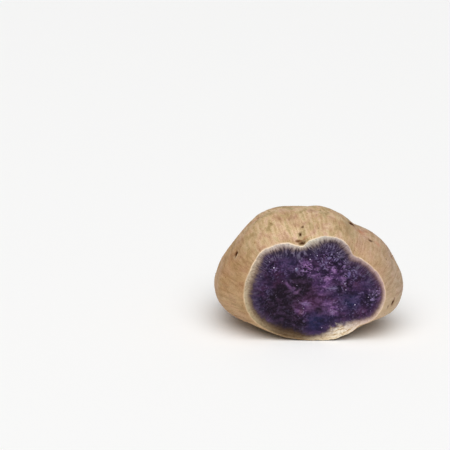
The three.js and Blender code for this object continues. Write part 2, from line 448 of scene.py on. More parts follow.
def reach_from(direction, place, wide, long, turn):
    """How far each point is from a mark, in half widths of it, and how far along the body."""
    ring, spoke = ring_at(place), spoke_at(direction)
    across = skin[ring, (spoke + 1) % SPOKES] - skin[ring, spoke - 1]
    across /= np.linalg.norm(across)
    along = np.cross(across, normals[ring, spoke])
    offset = skin - skin[ring, spoke]
    aside, lengthways = offset @ across, offset @ along
    cosine, sine = np.cos(np.radians(turn)), np.sin(np.radians(turn))
    reach = np.hypot((cosine * aside + sine * lengthways) / (wide / 2),
                     (cosine * lengthways - sine * aside) / (long / 2))
    far = np.linalg.norm(offset, axis=2) > MARK_LIMIT * max(wide, long)
    return np.where(far, np.inf, reach * (1 + TATTER[1] * ragged)), lengthways


print("the unevenness goes from", ragged.min().round(2), "to", ragged.max().round(2))

# %% Each mark is a pit with a hollow round it, a dark floor and a ridge beside it
HOLLOW_REACH, HOLLOW_DEPTH = 2.8, 0.6  # in half widths of the mark; as a share of its depth
RIDGE_OUT, RIDGE_WIDTH = 1.5, 0.4  # in half widths of the mark
RIDGE_HEIGHT = 0.35  # as a share of its depth
DARK_SPREAD = 1.6  # above 1 the dark floor reaches up the sides of the pit

dark_mark = np.zeros(skin.shape[:2])
pale_ridge = np.zeros(skin.shape[:2])
for direction, place, wide, long, turn, depth, dark, pale in scars:
    reach, lengthways = reach_from(direction, place, wide, long, turn)
    pit = np.exp(-(reach**2))
    hollow = HOLLOW_DEPTH * np.exp(-((reach / HOLLOW_REACH) ** 2))
    toward_cut = np.clip(0.5 - lengthways / long, 0, 1)
    ridge = np.exp(-(((reach - RIDGE_OUT) / RIDGE_WIDTH) ** 2)) * toward_cut
    relief += depth * (RIDGE_HEIGHT * ridge - pit - hollow)
    dark_mark = np.maximum(dark_mark, dark * np.clip(DARK_SPREAD * pit, 0, 1))
    pale_ridge = np.maximum(pale_ridge, pale * ridge)
print("the marks darken", f"{(dark_mark > 0.5).mean():.2%}", "of the skin's points")

# %% Patches of brown callus and of rubbed skin, placed in the same way
# Direction, mm behind the cut, mm across, mm along, turn in degrees and strength.
CALLUSES = [
    (107.2, 1.9, 5.4, 1.9, 0, 0.8), (161.5, 17.6, 4.2, 3.4, 35, 0.6), (49.0, 26.5, 5.0, 3.0, 10, 0.6),
    (-10.5, 6.9, 3.8, 2.2, 24, 0.5), (34.5, 16.4, 2.8, 1.8, 35, 0.5), (222, 46, 9, 5, 15, 0.7),
    (150, 60, 7, 4, -20, 0.6), (20, 52, 8, 5, 30, 0.5), (285, 30, 10, 6, 0, 0.6), (88, 50, 5, 3, 0, 0.4),
]
SCUFFS = [
    (41, 20, 6, 6, 30, 1.0), (27, 17, 5, 4, 40, 0.8), (36, 24, 4, 4, 20, 0.7),
    (100, 2.2, 4, 2, 0, 0.8), (140, 38, 14, 7, 10, 0.6), (60, 44, 12, 6, -25, 0.6),
    (5, 36, 10, 6, 0, 0.6), (200, 62, 10, 6, 30, 0.7), (255, 20, 14, 8, 0, 0.7),
]
CALLUS_HEIGHT = 0.10  # mm that a callus stands up
CALLUS_GRAIN = 0.7  # mm, how wide its lumps are


def patch_strength(patches):
    """How strongly each point of the skin lies in the listed patches."""
    strength = np.zeros(skin.shape[:2])
    for direction, place, wide, long, turn, most in patches:
        reach, _ = reach_from(direction, place, wide, long, turn)
        strength = np.maximum(strength, most * np.exp(-(reach**2)))
    return strength


callus = patch_strength(CALLUSES)
scuff = patch_strength(SCUFFS)
relief += CALLUS_HEIGHT * callus * (1 + waves(skin, CALLUS_GRAIN, 10))
print(len(CALLUSES), "calluses and", len(SCUFFS), "rubbed patches")

# %% The relief moves the grid, but not through the cut or the table
skin += relief[:, :, None] * normals
skin[0, :, 1] = cut_y
skin[:, :, 2] = np.maximum(skin[:, :, 2], 0)
print("relief in mm:", relief.min().round(2), "to", relief.max().round(2))

# %% [markdown]
# ## The cut face
# A knife leaves a flat face, but not a dead one: the skin's edge is rounded back a little, and
# the wet flesh sinks inside the firmer rind as it dries. One large flat polygon couldn't do
# that. So the face is a set of rings that shrink from the edge of the cut to its middle,
# close together near the edge, where the rind and its fibres are. Each point also keeps how
# far it is from the edge and how far round the edge it is, so that the finish can follow the
# shape of the cut.

# %% Rings across the cut face
RIND_STEP = 0.36  # mm between rings in the outer part
RIND_RINGS = 23
HEART_RINGS = 22  # from there to the middle
CUT_CENTRE = np.array([1.5, 28.0])  # x, z in mm
EDGE_SAMPLES = 4  # points of the edge to each spoke, for measuring distances

rim = skin[0][:, [0, 2]]
mean_radius = np.linalg.norm(rim - CUT_CENTRE, axis=1).mean()
ring_shares = RIND_STEP * np.arange(1, RIND_RINGS + 1) / mean_radius
heart_shares = np.linspace(ring_shares[-1], 1, HEART_RINGS + 2)[1:-1]
shares = np.concatenate([ring_shares, heart_shares])[::-1]  # from the middle outwards
face = CUT_CENTRE + (1 - shares)[:, None, None] * (rim - CUT_CENTRE)

edge = np.stack([np.interp(np.arange(SPOKES * EDGE_SAMPLES) / EDGE_SAMPLES, np.arange(SPOKES + 1),
                           np.append(rim[:, k], rim[0, k])) for k in (0, 1)], axis=1)
edge_length = np.linalg.norm(edge - np.roll(edge, 1, axis=0), axis=1).sum()
depth_in = np.empty(face.shape[:2])
edge_place = np.empty(face.shape[:2])
for i, ring_points in enumerate(face):
    distance = np.linalg.norm(ring_points[:, None] - edge, axis=2)
    depth_in[i] = distance.min(1)
    edge_place[i] = distance.argmin(1) / len(edge)
print("cut face:", face.shape, "edge", round(edge_length), "mm round")

# %% The flesh sinks, the knife wavers and the skin's edge is rounded back
EDGE_BACK = 0.12  # mm that the skin's edge is rounded back
SINK = 0.30  # mm that the flesh sinks inside the rind
SINK_START, SINK_END = 1.5, 9.0  # mm from the edge
CUT_WAVER = (5.0, 0.10)  # mm: the knife's waver, how wide, how deep

sunk = np.clip((depth_in - SINK_START) / (SINK_END - SINK_START), 0, 1)
flat = np.stack([face[:, :, 0], np.zeros(face.shape[:2]), face[:, :, 1]], axis=2)
waver = 0.5 + 0.5 * waves(flat, CUT_WAVER[0], 5)
flat[:, :, 1] = cut_y + SINK * sunk**2 * (3 - 2 * sunk) + CUT_WAVER[1] * waver * sunk
skin[0, :, 1] += EDGE_BACK
print("the cut lies up to", (flat[:, :, 1].max() - cut_y).round(2), "mm behind the knife's plane")

# %% [markdown]
# ## The stalk nub
# Where the tuber was broken from its plant, a dry nub is left. A separate plug could be stuck
# on, but a seam would show where it meets the skin. So the skin's own rings run on across
# the end of the nub to its middle, and are pushed in and out unevenly, like torn fibres.

# %% The torn end of the nub
NUB_RINGS = 12
RIM_TEAR = (0.8, 0.75, 2.2)  # mm: how wide the tears are, how deep, how far they reach down
TEAR_STRETCH = np.array([1, 0.2, 1])  # they are longer along the stalk
NUB_PROFILE = np.array([  # share of the way out from the middle, height in mm
    [0, -0.95], [0.30, -0.85], [0.42, -0.35], [0.55, 0.10],
    [0.76, 0.05], [0.84, -0.40], [0.92, -0.10], [1, 0],
])
NUB_ROUGHNESS = (0.55, 0.40)  # mm: how wide, how high

tear_share = np.clip(1 - before_end / RIM_TEAR[2], 0, 1)[:, None] ** 2
skin[:, :, 1] += RIM_TEAR[1] * waves(skin * TEAR_STRETCH, RIM_TEAR[0], 11) * tear_share
nub_centre = skin[-1].mean(0)
nub_shares = np.linspace(1, 0, NUB_RINGS + 2)[1:-1]
nub_end = nub_centre + nub_shares[:, None, None] * (skin[-1] - nub_centre)
nub_end[:, :, 1] += np.interp(nub_shares, NUB_PROFILE[:, 0], NUB_PROFILE[:, 1])[:, None]
nub_end[:, :, 1] += NUB_ROUGHNESS[1] * waves(nub_end, NUB_ROUGHNESS[0], 6)
nub_centre = nub_end[-1].mean(0)
print("nub's end:", nub_end.shape, "from", nub_end[:, :, 1].min().round(1), "to",
      nub_end[:, :, 1].max().round(1), "mm in y")

# %% [markdown]
# ## One closed mesh
# The cut, the skin and the nub's end could be three objects, but their edges would gap, and
# only a closed shell has an inside. So all the rings stand in one list, from the middle of the
# cut over its edge and along the body. Four-sided faces join each ring to the next, and a fan
# of triangles closes each end.

# %% One closed mesh from the middle of the cut to the middle of the nub
cut_middle = np.array([[CUT_CENTRE[0], flat[0, :, 1].mean(), CUT_CENTRE[1]]])
rows = np.concatenate([flat, skin, nub_end])
points = np.concatenate([cut_middle, rows.reshape(-1, 3), nub_centre[None]]) * MM
face_rings, skin_rings = len(flat), len(skin)
starts = 1 + SPOKES * np.arange(len(rows) - 1)[:, None]
spoke = np.arange(SPOKES)
following = (spoke + 1) % SPOKES
quads = np.stack([starts + spoke, starts + following,
                  starts + SPOKES + following, starts + SPOKES + spoke], axis=2).reshape(-1, 4)
last_row = 1 + SPOKES * (len(rows) - 1)
fans = [(0, 1 + a, 1 + b) for a, b in zip(spoke, following)]
fans += [(len(points) - 1, last_row + b, last_row + a) for a, b in zip(spoke, following)]

yam_mesh = bpy.data.meshes.new("yam")
yam_mesh.from_pydata(
    points.tolist(), [], [tuple(map(int, q[::-1])) for q in quads] + [tuple(map(int, f)) for f in fans])
yam_mesh.validate()
yam_mesh.shade_smooth()
yam = bpy.data.objects.new("yam", yam_mesh)
bpy.context.collection.objects.link(yam)
print("yam:", len(yam_mesh.vertices), "points,", 2 * len(quads) + len(fans), "triangles")

# %% [markdown]
# ## What the finishes need to know
# Each finish follows the body, so the mesh carries named attributes, in millimetres or from 0
# to 1: the lengthwise grain, the scars, the distance from the cut, and on the cut face the
# distance from its edge and the fibres that point away from it. A painted map could hold all
# this, but attributes need no unwrapping and stay sharp at any size. The rind is thin at the
# right and thick at the lower right, and it changes tone round the cut. In the flesh lie
# blooms of magenta, pools of indigo and plum, pale speckled places and nearly black ones.
# These are short lists of places, and the finish breaks them up with noise.

# %% The rind's width and tone round the cut
RIND_WIDTHS = np.array([  # direction from the middle of the cut in degrees, width in mm
    [1, 2.7], [12, 3.4], [24, 2.9], [38, 3.9], [53, 3.5], [62, 4.5], [69, 3.6], [76, 3.7],
    [82, 4.8], [88, 5.3], [93, 5.1], [98, 4.2], [105, 2.7], [112, 3.1], [120, 4.2], [130, 5.0],
    [139, 4.0], [145, 3.6], [151, 4.6], [158, 5.3], [190, 4.4], [240, 5.5], [250, 4.8],
    [264, 3.1], [278, 3.2], [288, 4.8], [296, 6.4], [304, 6.6], [312, 5.8], [320, 4.6],
    [326, 3.5], [332, 3.0], [342, 3.0], [352, 2.6],
])
RIND_TONES = [  # direction, the tone of the rind and that of its outer line
    (5, "#bd9f9d", "#e8cab2"),  # mauve at the right
    (40, "#b39b9a", "#ecd3b8"),
    (66, "#b9aca9", "#ead6c0"),
    (92, "#dcd6c6", "#f4e6cc"),  # ivory on top
    (125, "#d3c6bf", "#fbe6cc"),
    (160, "#cab9a2", "#f8dfc0"),
    (200, "#b5a382", "#dcc298"),  # straw at the left
    (231, "#6f5c46", "#9c7f5d"),  # brown at the bottom left: a soil stain, darker as painted shade
    (256, "#76634a", "#a88761"),
    (284, "#ecdcbe", "#f8e4c0"),
    (303, "#fff5e2", "#fdebcb"),  # cream at the thick lower right
    (328, "#d8c0b6", "#eed0b4"),
    (342, "#d2bba9", "#ead0b2"),
]

on_cut = np.concatenate([flat, skin[:1]])  # the rings of the cut face and, last, its edge
depth_in = np.concatenate([depth_in, np.zeros((1, SPOKES))])
edge_place = np.concatenate([edge_place, np.arange(SPOKES)[None] / SPOKES])
off_centre = on_cut - [CUT_CENTRE[0], 0, CUT_CENTRE[1]]
from_middle = np.degrees(np.arctan2(off_centre[:, :, 2], off_centre[:, :, 0])) % 360
rind_width = np.interp(from_middle, RIND_WIDTHS[:, 0], RIND_WIDTHS[:, 1], period=360)


def towards(turns, direction, reach, strength=1.0):
    """How near each turn is to a direction, both in degrees: from 0 to the strength."""
    apart = (turns - direction + 180) % 360 - 180
    return strength * np.exp(-((apart / reach) ** 2))


def tones_round(turns, tones, column):
    """The linear colour at each turn, between those listed at the nearest directions."""
    colours = np.array([linear(row[column])[:3] for row in tones])
    directions = [row[0] for row in tones]
    return np.stack([np.interp(turns, directions, colours[:, k], period=360) for k in range(3)], axis=2)


print("rind:", rind_width.min().round(1), "to", rind_width.max().round(1), "mm wide")

# %% The clouds of colour in the flesh
BLOOMS = [  # x, z, reach in mm, strength: where the pigment is a bright magenta
    (-2.4, 41.0, 3.5, 1.0), (-5.0, 45.5, 2.4, 0.4), (10.5, 37.5, 2.8, 0.6), (8.5, 34.0, 2.8, 0.65),
    (7.0, 30.5, 2.6, 0.65), (4.8, 27.5, 2.6, 0.5), (13.5, 39.5, 2.4, 0.5), (-12.0, 31.5, 2.4, 0.35),
    (-9.0, 27.8, 2.2, 0.4), (-3.0, 19.9, 2.2, 0.85), (12.0, 18.0, 2.8, 0.8), (8.0, 21.0, 2.6, 0.5),
    (-6.3, 16.4, 3.0, 0.6), (36.0, 27.0, 2.0, 0.6), (36.5, 23.5, 1.6, 0.3), (2.0, 37.0, 3.0, 0.4),
    (-14.5, 42.5, 3.0, 0.3), (17.0, 34.5, 2.6, 0.5), (-20.2, 40.8, 1.6, 0.6), (16.0, 42.0, 3.0, 0.3),
    (3.0, 29.0, 15.0, 0.08), (31.0, 25.0, 7.0, 0.15), (1.5, 32.3, 2.2, 0.45), (14.5, 36.5, 2.2, 0.45),
    (9.9, 41.1, 2.0, 0.35), (14.2, 14.5, 2.4, 0.25), (5.6, 14.5, 2.0, 0.2),
]
INDIGOS = [  # the same, where it is blue
    (2.0, 10.5, 6.0, 1.0), (21.0, 22.0, 6.0, 0.9), (-13.0, 44.0, 5.0, 0.7), (30.0, 31.0, 4.5, 0.5),
    (9.0, 49.0, 4.0, 0.4), (11.0, 12.0, 4.0, 0.5),
]
PLUMS = [  # the same, where it is a reddish plum
    (-5.0, 26.0, 9.0, 0.9), (-9.0, 17.0, 6.0, 0.7), (4.0, 22.0, 6.0, 0.5), (29.5, 40.0, 3.2, 1.0),
    (27.0, 16.5, 4.0, 0.8), (33.0, 30.0, 5.0, 0.5), (-18.0, 32.0, 5.0, 0.5),
]
SPECKLES = [  # the same, where pale grains stand out
    (-3.0, 41.0, 5.0, 1.0), (12.0, 45.5, 7.0, 1.0), (4.0, 48.5, 4.0, 0.8), (18.0, 31.0, 4.0, 0.9),
    (36.0, 27.0, 3.6, 0.8), (31.0, 23.0, 5.0, 0.7), (-23.0, 40.0, 4.5, 0.9), (-20.2, 40.8, 3.0, 0.6),
    (-5.0, 12.0, 3.0, 0.35), (12.0, 18.0, 4.0, 0.5), (20.0, 41.0, 5.0, 0.7), (8.0, 36.0, 4.0, 0.5),
    (22.0, 13.0, 6.0, 0.4), (-22.0, 24.0, 6.0, 0.25), (-10.0, 9.0, 6.0, 0.1),
]
UMBERS_AND_SHADOWS = [  # the same, where it is nearly black or brown; those at the left and lower left also paint a cast shadow
    (-7.5, 34.0, 5.5, 0.7), (-17.0, 23.0, 7.0, 0.8), (16.5, 30.0, 4.5, 0.55), (-3.5, 30.6, 4.6, 0.7),
    (30.5, 39.0, 3.4, 0.8), (-15.0, 14.0, 7.0, 0.9), (-14.0, 28.0, 6.0, 0.55), (22.0, 15.0, 5.0, 0.4),
    (-24.0, 35.0, 4.0, 0.5), (-6.2, 24.0, 4.0, 0.45), (-3.0, 10.0, 2.6, 0.3), (4.0, 17.5, 2.4, 0.8),
    (2.0, 24.5, 4.0, 0.4), (-11.0, 8.0, 7.0, 0.6), (-7.5, 8.8, 3.5, 0.8), (-24.0, 20.0, 8.0, 0.5),
]


def spread(places, spots):
    """How strongly each point of the cut face lies in the listed spots, from 0 to 1."""
    total = np.zeros(places.shape[:2])
    for x, z, reach, strength in spots:
        away = np.hypot(places[:, :, 0] - x, places[:, :, 2] - z)
        total += strength * np.exp(-((away / reach) ** 2))
    return np.clip(total, 0, 1)


speckled = spread(on_cut, SPECKLES)
print("speckles lie on", f"{(speckled > 0.5).mean():.0%}", "of the cut's points")

# %% Fibres that point away from the edge, and layers that follow it
FIBRE_STRETCH = 0.15  # a fibre's width, as a share of its length inwards
LAYER_STRETCH = 0.12  # a layer's thickness, as a share of its length round the edge
SPREAD_WINDOW = 6  # spokes to each side, over which the spread of the fibres is measured

edge_turn = 2 * np.pi * edge_place
edge_radius = edge_length / (2 * np.pi)
round_edge = edge_radius * np.stack([np.cos(edge_turn), np.sin(edge_turn)], axis=2)
fibre = np.concatenate([round_edge, FIBRE_STRETCH * depth_in[:, :, None]], axis=2)
layer = np.concatenate([LAYER_STRETCH * round_edge, depth_in[:, :, None]], axis=2)
edge_step = np.roll(edge_place, -SPREAD_WINDOW, axis=1) - np.roll(edge_place, SPREAD_WINDOW, axis=1)
edge_step = edge_length * np.abs((edge_step + 0.5) % 1 - 0.5)
window = np.roll(on_cut, -SPREAD_WINDOW, axis=1) - np.roll(on_cut, SPREAD_WINDOW, axis=1)
ring_step = np.linalg.norm(window, axis=2)
closeness = np.clip(edge_step / ring_step, 0, 1)  # 0 where the fibres fan out from one point
print("the fibres lie close on", f"{(closeness > 0.5).mean():.0%}", "of the cut's points")


# %% How a value is written on the mesh
def on_every_row(on_face, on_skin, at_nub):
    """Values for all the mesh's points, from those of the face, the skin and the nub's end."""
    parts = [np.broadcast_to(part, shape) for part, shape in (
        (on_face, flat.shape[:2]), (on_skin, skin.shape[:2]), (at_nub, nub_end.shape[:2]))]
    joined = np.concatenate(parts)
    return np.concatenate([[joined[0].mean()], joined.ravel(), [joined[-1].mean()]])


def write_attribute(name, on_face=0.0, on_skin=0.0, at_nub=0.0):
    """Writes one number for each point of the mesh."""
    attribute = yam_mesh.attributes.new(name, "FLOAT", "POINT")
    attribute.data.foreach_set("value", on_every_row(on_face, on_skin, at_nub).astype(np.float32))


def write_vectors(name, on_face, on_skin):
    """Writes a vector for each point; all of the nub's end takes the mean of the last ring."""
    columns = [on_every_row(on_face[:, :, k], on_skin[:, :, k], on_skin[-1, :, k].mean())
               for k in range(3)]
    attribute = yam_mesh.attributes.new(name, "FLOAT_VECTOR", "POINT")
    attribute.data.foreach_set("vector", np.stack(columns, axis=1).ravel().astype(np.float32))


def write_on_cut(name, values):
    """Writes values or vectors given for the rings of the cut face and its edge."""
    if values.ndim == 2:
        write_attribute(name, on_face=values[:-1], on_skin=values[-1:])
    else:
        write_vectors(name, values[:-1], np.broadcast_to(values[-1:], skin.shape))


print("points to write for:", len(yam_mesh.vertices))

# %% What the skin's finish reads
# Sides of the body that differ: the direction they face, their reach in degrees, strength.
# the right side: a rosy tint, darker as painted shade
ROSY_SHADED_SIDE = (10, 48, 1.0)
# the underside: a soil stain, darker still as painted shade
UNDERSIDE = (276, 40, 1.0)
# the lower left flank: an ochre tint, darker and warmer as painted shade
OCHRE_SHADED_FLANK = (185, 42, 1.0)
OCHRE_BY_CUT = (30, 26, 0.5)
# the lower right flank near the cut: painted light bounced from the table
BOUNCE_LIT_FLANK = (338, 16, 0.6)
OCHRE_REACH = 9.0  # mm behind the cut, where the skin is yellower on the right
BOUNCE_LIT_REACH = 16.0  # mm behind the cut, where the skin is paler at the lower right
DRYING_LENGTH = 14.0  # mm before the nub's end, over which the skin dries to brown

painted_bounce_light = towards(facing, *BOUNCE_LIT_FLANK) * np.exp(-((run / BOUNCE_LIT_REACH) ** 2))[:, None]
ochre_by_cut = towards(facing, *OCHRE_BY_CUT) * np.exp(-((run / OCHRE_REACH) ** 2))[:, None]
drying_share = np.clip((run - run[-1] + DRYING_LENGTH) / DRYING_LENGTH, 0, 1)
write_vectors("grain", np.zeros(flat.shape), grain)
write_attribute("behind", on_skin=run[:, None], at_nub=run[-1])
write_attribute("dark_mark", on_skin=dark_mark)
# The pale ridges also carry painted light bounced from the table on the lower right flank.
write_attribute("pale_ridge", on_skin=np.maximum(pale_ridge, painted_bounce_light))
write_attribute("callus", on_skin=callus)
write_attribute("scuff", on_skin=scuff)
write_attribute("furrow", on_skin=furrow)
write_attribute("rosy_and_shade", on_skin=towards(facing, *ROSY_SHADED_SIDE)[None])
write_attribute("underside", on_skin=towards(facing, *UNDERSIDE)[None])
write_attribute("ochre_and_shade", on_skin=np.maximum(towards(facing, *OCHRE_SHADED_FLANK), ochre_by_cut))
write_attribute("toward_nub", on_skin=drying_share[:, None], at_nub=1.0)
write_attribute("nub_share", on_skin=1.0, at_nub=nub_shares[:, None])
print("attributes so far:", len(yam_mesh.attributes))

# %% What the flesh's finish reads
# Parts of the rind that differ: the direction from the middle of the cut, reach, strength.
CREAMY_RIND = (303, 22, 1.0)
MAUVE_RIND = (5, 40, 1.0)
COMBED_RIND = (100, 75, 1.0)  # where its fibres part the flesh like a comb's teeth
LAYERED_RIND = (246, 20, 0.8)  # where it splits in layers, as it does where it is creamy

creamy = towards(from_middle, *CREAMY_RIND)
combed = towards(from_middle, *COMBED_RIND)
write_on_cut("depth_in", depth_in)
write_on_cut("rind_share", depth_in / rind_width)
write_on_cut("bloom", spread(on_cut, BLOOMS))
write_on_cut("indigo", spread(on_cut, INDIGOS))
write_on_cut("umber_and_shadow", spread(on_cut, UMBERS_AND_SHADOWS))
write_on_cut("plum", spread(on_cut, PLUMS))
write_on_cut("speckle", speckled)
write_on_cut("creamy_rind", creamy)
write_on_cut("layering", np.maximum(creamy, towards(from_middle, *LAYERED_RIND)))
write_on_cut("mauve_rind", towards(from_middle, *MAUVE_RIND))
write_on_cut("combing", combed)
write_on_cut("fray", combed * closeness)
write_on_cut("fibre", fibre)
write_on_cut("layer", layer)
write_on_cut("rind_tone", tones_round(from_middle, RIND_TONES, 1))
write_on_cut("line_tone", tones_round(from_middle, RIND_TONES, 2))
print("attributes so far:", len(yam_mesh.attributes))

# %% Where beads of sap and lenticels may stand
BEADS_FROM = 1.2  # rind widths in from the edge, where beads of sap begin
BEAD_CHANCE = 0.05  # anywhere in the flesh
SPECKLE_CHANCE = 0.5  # what a speckled place adds to it
LENTICEL_FIRST = 1.5  # mm behind the cut
LENTICEL_LOWEST = 1.0  # mm above the table, which would rub them off
LENTICEL_DARKEST = 0.1  # none grows on a mark darker than this
LENTICEL_PATCH = 9.0  # mm, how wide the patches are that have many or few
LENTICEL_CHANCE = (0.5, 1.5)  # its mean, and how far it swings between patches

bead_chance = (BEAD_CHANCE + SPECKLE_CHANCE * speckled) * (depth_in > BEADS_FROM * rind_width)
write_on_cut("bead_chance", np.clip(bead_chance, 0, 1))
crowding = waves(skin, LENTICEL_PATCH, 12)
lenticel_chance = np.clip(LENTICEL_CHANCE[0] + LENTICEL_CHANCE[1] * crowding, 0, 1)
lenticel_chance *= dark_mark < LENTICEL_DARKEST
lenticel_chance *= (run > LENTICEL_FIRST)[:, None] & (before_end > FOLD_REACH)[:, None]
lenticel_chance *= skin[:, :, 2] > LENTICEL_LOWEST
write_attribute("lenticel_chance", on_skin=lenticel_chance)
print("lenticels may stand on", f"{(lenticel_chance > 0).mean():.0%}", "of the skin's points")

# %% [markdown]
# ## The skin's finish
# The skin is periderm, a thin corky layer like very fine suede that has been washed. It is
# tan, with pinkish and olive patches some 5 mm wide that are longer along the body, fine
# streaks, dust in its pores and freckles. One side is rosy and one is ochre, and both are
# also painted a little darker, as painted shade. The side that it lies on takes a soil stain
# with painted shade, the furrow takes painted shade, and the lower right flank a painted light
# bounced from the table. A painted map would need unwrapping and would blur up close, so
# the colour is built up in layers, each from noise whose width is given in millimetres.
# It is nearly matt, and its pale streaks shine a little. The relief that is finer than the
# grid comes from the bump. Where the knife went through it, its edge shows as a cream line,
# and near the nub it dries to brown.

# %% The skin's places and its ground colour
COLOUR_A, COLOUR_B, MIXED = 6, 7, 2  # the colour sockets of a Mix node
PATCH_WIDTH = 5.0  # mm
PATCH_SHAPE = (1.0, 0.45, 1.0)  # less than 1 along the body, so they are longer that way
WEATHER_WIDTH = 16.0  # mm, areas that are a little greyer
ROSY_AND_SHADE_MOST, OCHRE_AND_SHADE_MOST = 0.7, 0.7  # the strongest that those sides get

skin_finish, tree = new_material("washed_cork_skin")
place = add_node(tree, "ShaderNodeTexCoord").outputs["Object"]
in_mm = add_node(tree, "ShaderNodeVectorMath", {0: place, "Scale": 1 / MM}, operation="SCALE").outputs[0]
grain_at = add_node(tree, "ShaderNodeAttribute", attribute_name="grain").outputs["Vector"]
trait = {name: add_node(tree, "ShaderNodeAttribute", attribute_name=name).outputs["Fac"] for name in (
    "behind", "dark_mark", "pale_ridge", "toward_nub", "rosy_and_shade", "ochre_and_shade", "furrow", "underside")}

# Pink and olive patches, under a grey that comes and goes.
lengthened = add_node(tree, "ShaderNodeVectorMath", {0: in_mm, 1: PATCH_SHAPE},
                      operation="MULTIPLY").outputs[0]
patches = add_node(tree, "ShaderNodeTexNoise", {
    "Vector": lengthened, "Scale": 1 / PATCH_WIDTH, "Detail": 3.0, "Roughness": 0.6,
    "Distortion": 0.4}).outputs[0]
patch_tone = add_node(tree, "ShaderNodeValToRGB", {"Fac": patches}, stops=[
    (0.34, "#b9a478"), (0.42, "#d1bb92"), (0.50, "#e1c7a0"), (0.57, "#e0c0a1"),
    (0.66, "#caa58b")]).outputs[0]
weather = add_node(tree, "ShaderNodeTexNoise", {
    "Vector": in_mm, "Scale": 1 / WEATHER_WIDTH, "Detail": 2.0, "Roughness": 0.5}).outputs[0]
weather_tone = add_node(tree, "ShaderNodeValToRGB", {"Fac": weather}, stops=[
    (0.38, "#e2dcd0"), (0.52, "#ffffff")]).outputs[0]
base = add_node(tree, "ShaderNodeMix", {0: 1.0, COLOUR_A: patch_tone, COLOUR_B: weather_tone},
                data_type="RGBA", blend_type="MULTIPLY").outputs[MIXED]
# One side is rosy and one is ochre, and both are painted darker than the top, as painted shade.
rosy_and_shade_part = add_node(tree, "ShaderNodeMath", {0: trait["rosy_and_shade"], 1: ROSY_AND_SHADE_MOST},
                     operation="MULTIPLY").outputs[0]
rosy_and_shaded_side = add_node(tree, "ShaderNodeMix", {0: rosy_and_shade_part, COLOUR_A: base, COLOUR_B: linear("#b69b86")},
                     data_type="RGBA").outputs[MIXED]
ochre_and_shade_part = add_node(tree, "ShaderNodeMath", {0: trait["ochre_and_shade"], 1: OCHRE_AND_SHADE_MOST},
                      operation="MULTIPLY").outputs[0]
ochre_and_shaded_side = add_node(tree, "ShaderNodeMix",
                      {0: ochre_and_shade_part, COLOUR_A: rosy_and_shaded_side, COLOUR_B: linear("#be9262")},
                      data_type="RGBA").outputs[MIXED]
print("nodes for the ground colour:", len(tree.nodes))

# %% Streaks, stains and dust
STREAK_WIDTH = 1.5  # mm; the real ones are about half that and would hardly show
STAIN_WIDTH = 3.6  # mm
DUST_WIDTH = 0.7  # mm; cork cells are 0.05 mm, drawn coarser so that the dust in them shows

streaks = add_node(tree, "ShaderNodeTexNoise", {
    "Vector": grain_at, "Scale": 1 / STREAK_WIDTH, "Detail": 3.0, "Roughness": 0.6}).outputs[0]
streak_tone = add_node(tree, "ShaderNodeValToRGB", {"Fac": streaks}, stops=[
    (0.34, "#d0c2aa"), (0.47, "#f1eae0"), (0.60, "#ffffff")]).outputs[0]
streaked = add_node(tree, "ShaderNodeMix", {0: 0.75, COLOUR_A: ochre_and_shaded_side, COLOUR_B: streak_tone},
                    data_type="RGBA", blend_type="MULTIPLY").outputs[MIXED]
stains = add_node(tree, "ShaderNodeTexNoise", {
    "Vector": grain_at, "Scale": 1 / STAIN_WIDTH, "Detail": 2.0, "Roughness": 0.7}).outputs[0]
olive_part = add_node(tree, "ShaderNodeMapRange", {
    "Value": stains, "From Min": 0.54, "From Max": 0.70, "To Min": 0.0, "To Max": 0.30}).outputs[0]
olive = add_node(tree, "ShaderNodeMix", {0: olive_part, COLOUR_A: streaked, COLOUR_B: linear("#b09a70")},
                 data_type="RGBA").outputs[MIXED]
pink_part = add_node(tree, "ShaderNodeMapRange", {
    "Value": stains, "From Min": 0.32, "From Max": 0.46, "To Min": 0.22, "To Max": 0.0}).outputs[0]
pink = add_node(tree, "ShaderNodeMix", {0: pink_part, COLOUR_A: olive, COLOUR_B: linear("#cfa68a")},
                data_type="RGBA").outputs[MIXED]
dust = add_node(tree, "ShaderNodeTexNoise", {
    "Vector": in_mm, "Scale": 1 / DUST_WIDTH, "Detail": 2.0, "Roughness": 0.7}).outputs[0]
dust_tone = add_node(tree, "ShaderNodeValToRGB", {"Fac": dust}, stops=[
    (0.32, "#c9b8a2"), (0.46, "#f2ebe2"), (0.58, "#ffffff")]).outputs[0]
dusted = add_node(tree, "ShaderNodeMix", {0: 0.6, COLOUR_A: pink, COLOUR_B: dust_tone},
                  data_type="RGBA", blend_type="MULTIPLY").outputs[MIXED]
print("with streaks, stains and dust:", len(tree.nodes))

# %% Freckles, pale ridges and painted bounce light, painted shade in the furrow, and the soil stain and painted shade underneath
FRECKLE_SPACING = 3.4  # mm
FRECKLE_LARGEST = 0.17  # its radius, as a share of the spacing
FURROW_SHADE_MOST, SOIL_AND_SHADE_MOST = 0.5, 0.95

# Each cell holds one freckle, and fewer than half are large enough to show.
freckle_cells = add_node(tree, "ShaderNodeTexVoronoi", {"Vector": in_mm, "Scale": 1 / FRECKLE_SPACING})
freckle_size = add_node(tree, "ShaderNodeMapRange", {
    "Value": freckle_cells.outputs["Color"], "From Min": 0.55, "From Max": 1.0,
    "To Min": 0.0, "To Max": FRECKLE_LARGEST}).outputs[0]
freckle = add_node(tree, "ShaderNodeMath", {0: freckle_cells.outputs["Distance"], 1: freckle_size},
                   operation="LESS_THAN").outputs[0]
freckle_part = add_node(tree, "ShaderNodeMath", {0: freckle, 1: 0.45}, operation="MULTIPLY").outputs[0]
freckled = add_node(tree, "ShaderNodeMix",
                    {0: freckle_part, COLOUR_A: dusted, COLOUR_B: linear("#8a5c3c")},
                    data_type="RGBA").outputs[MIXED]
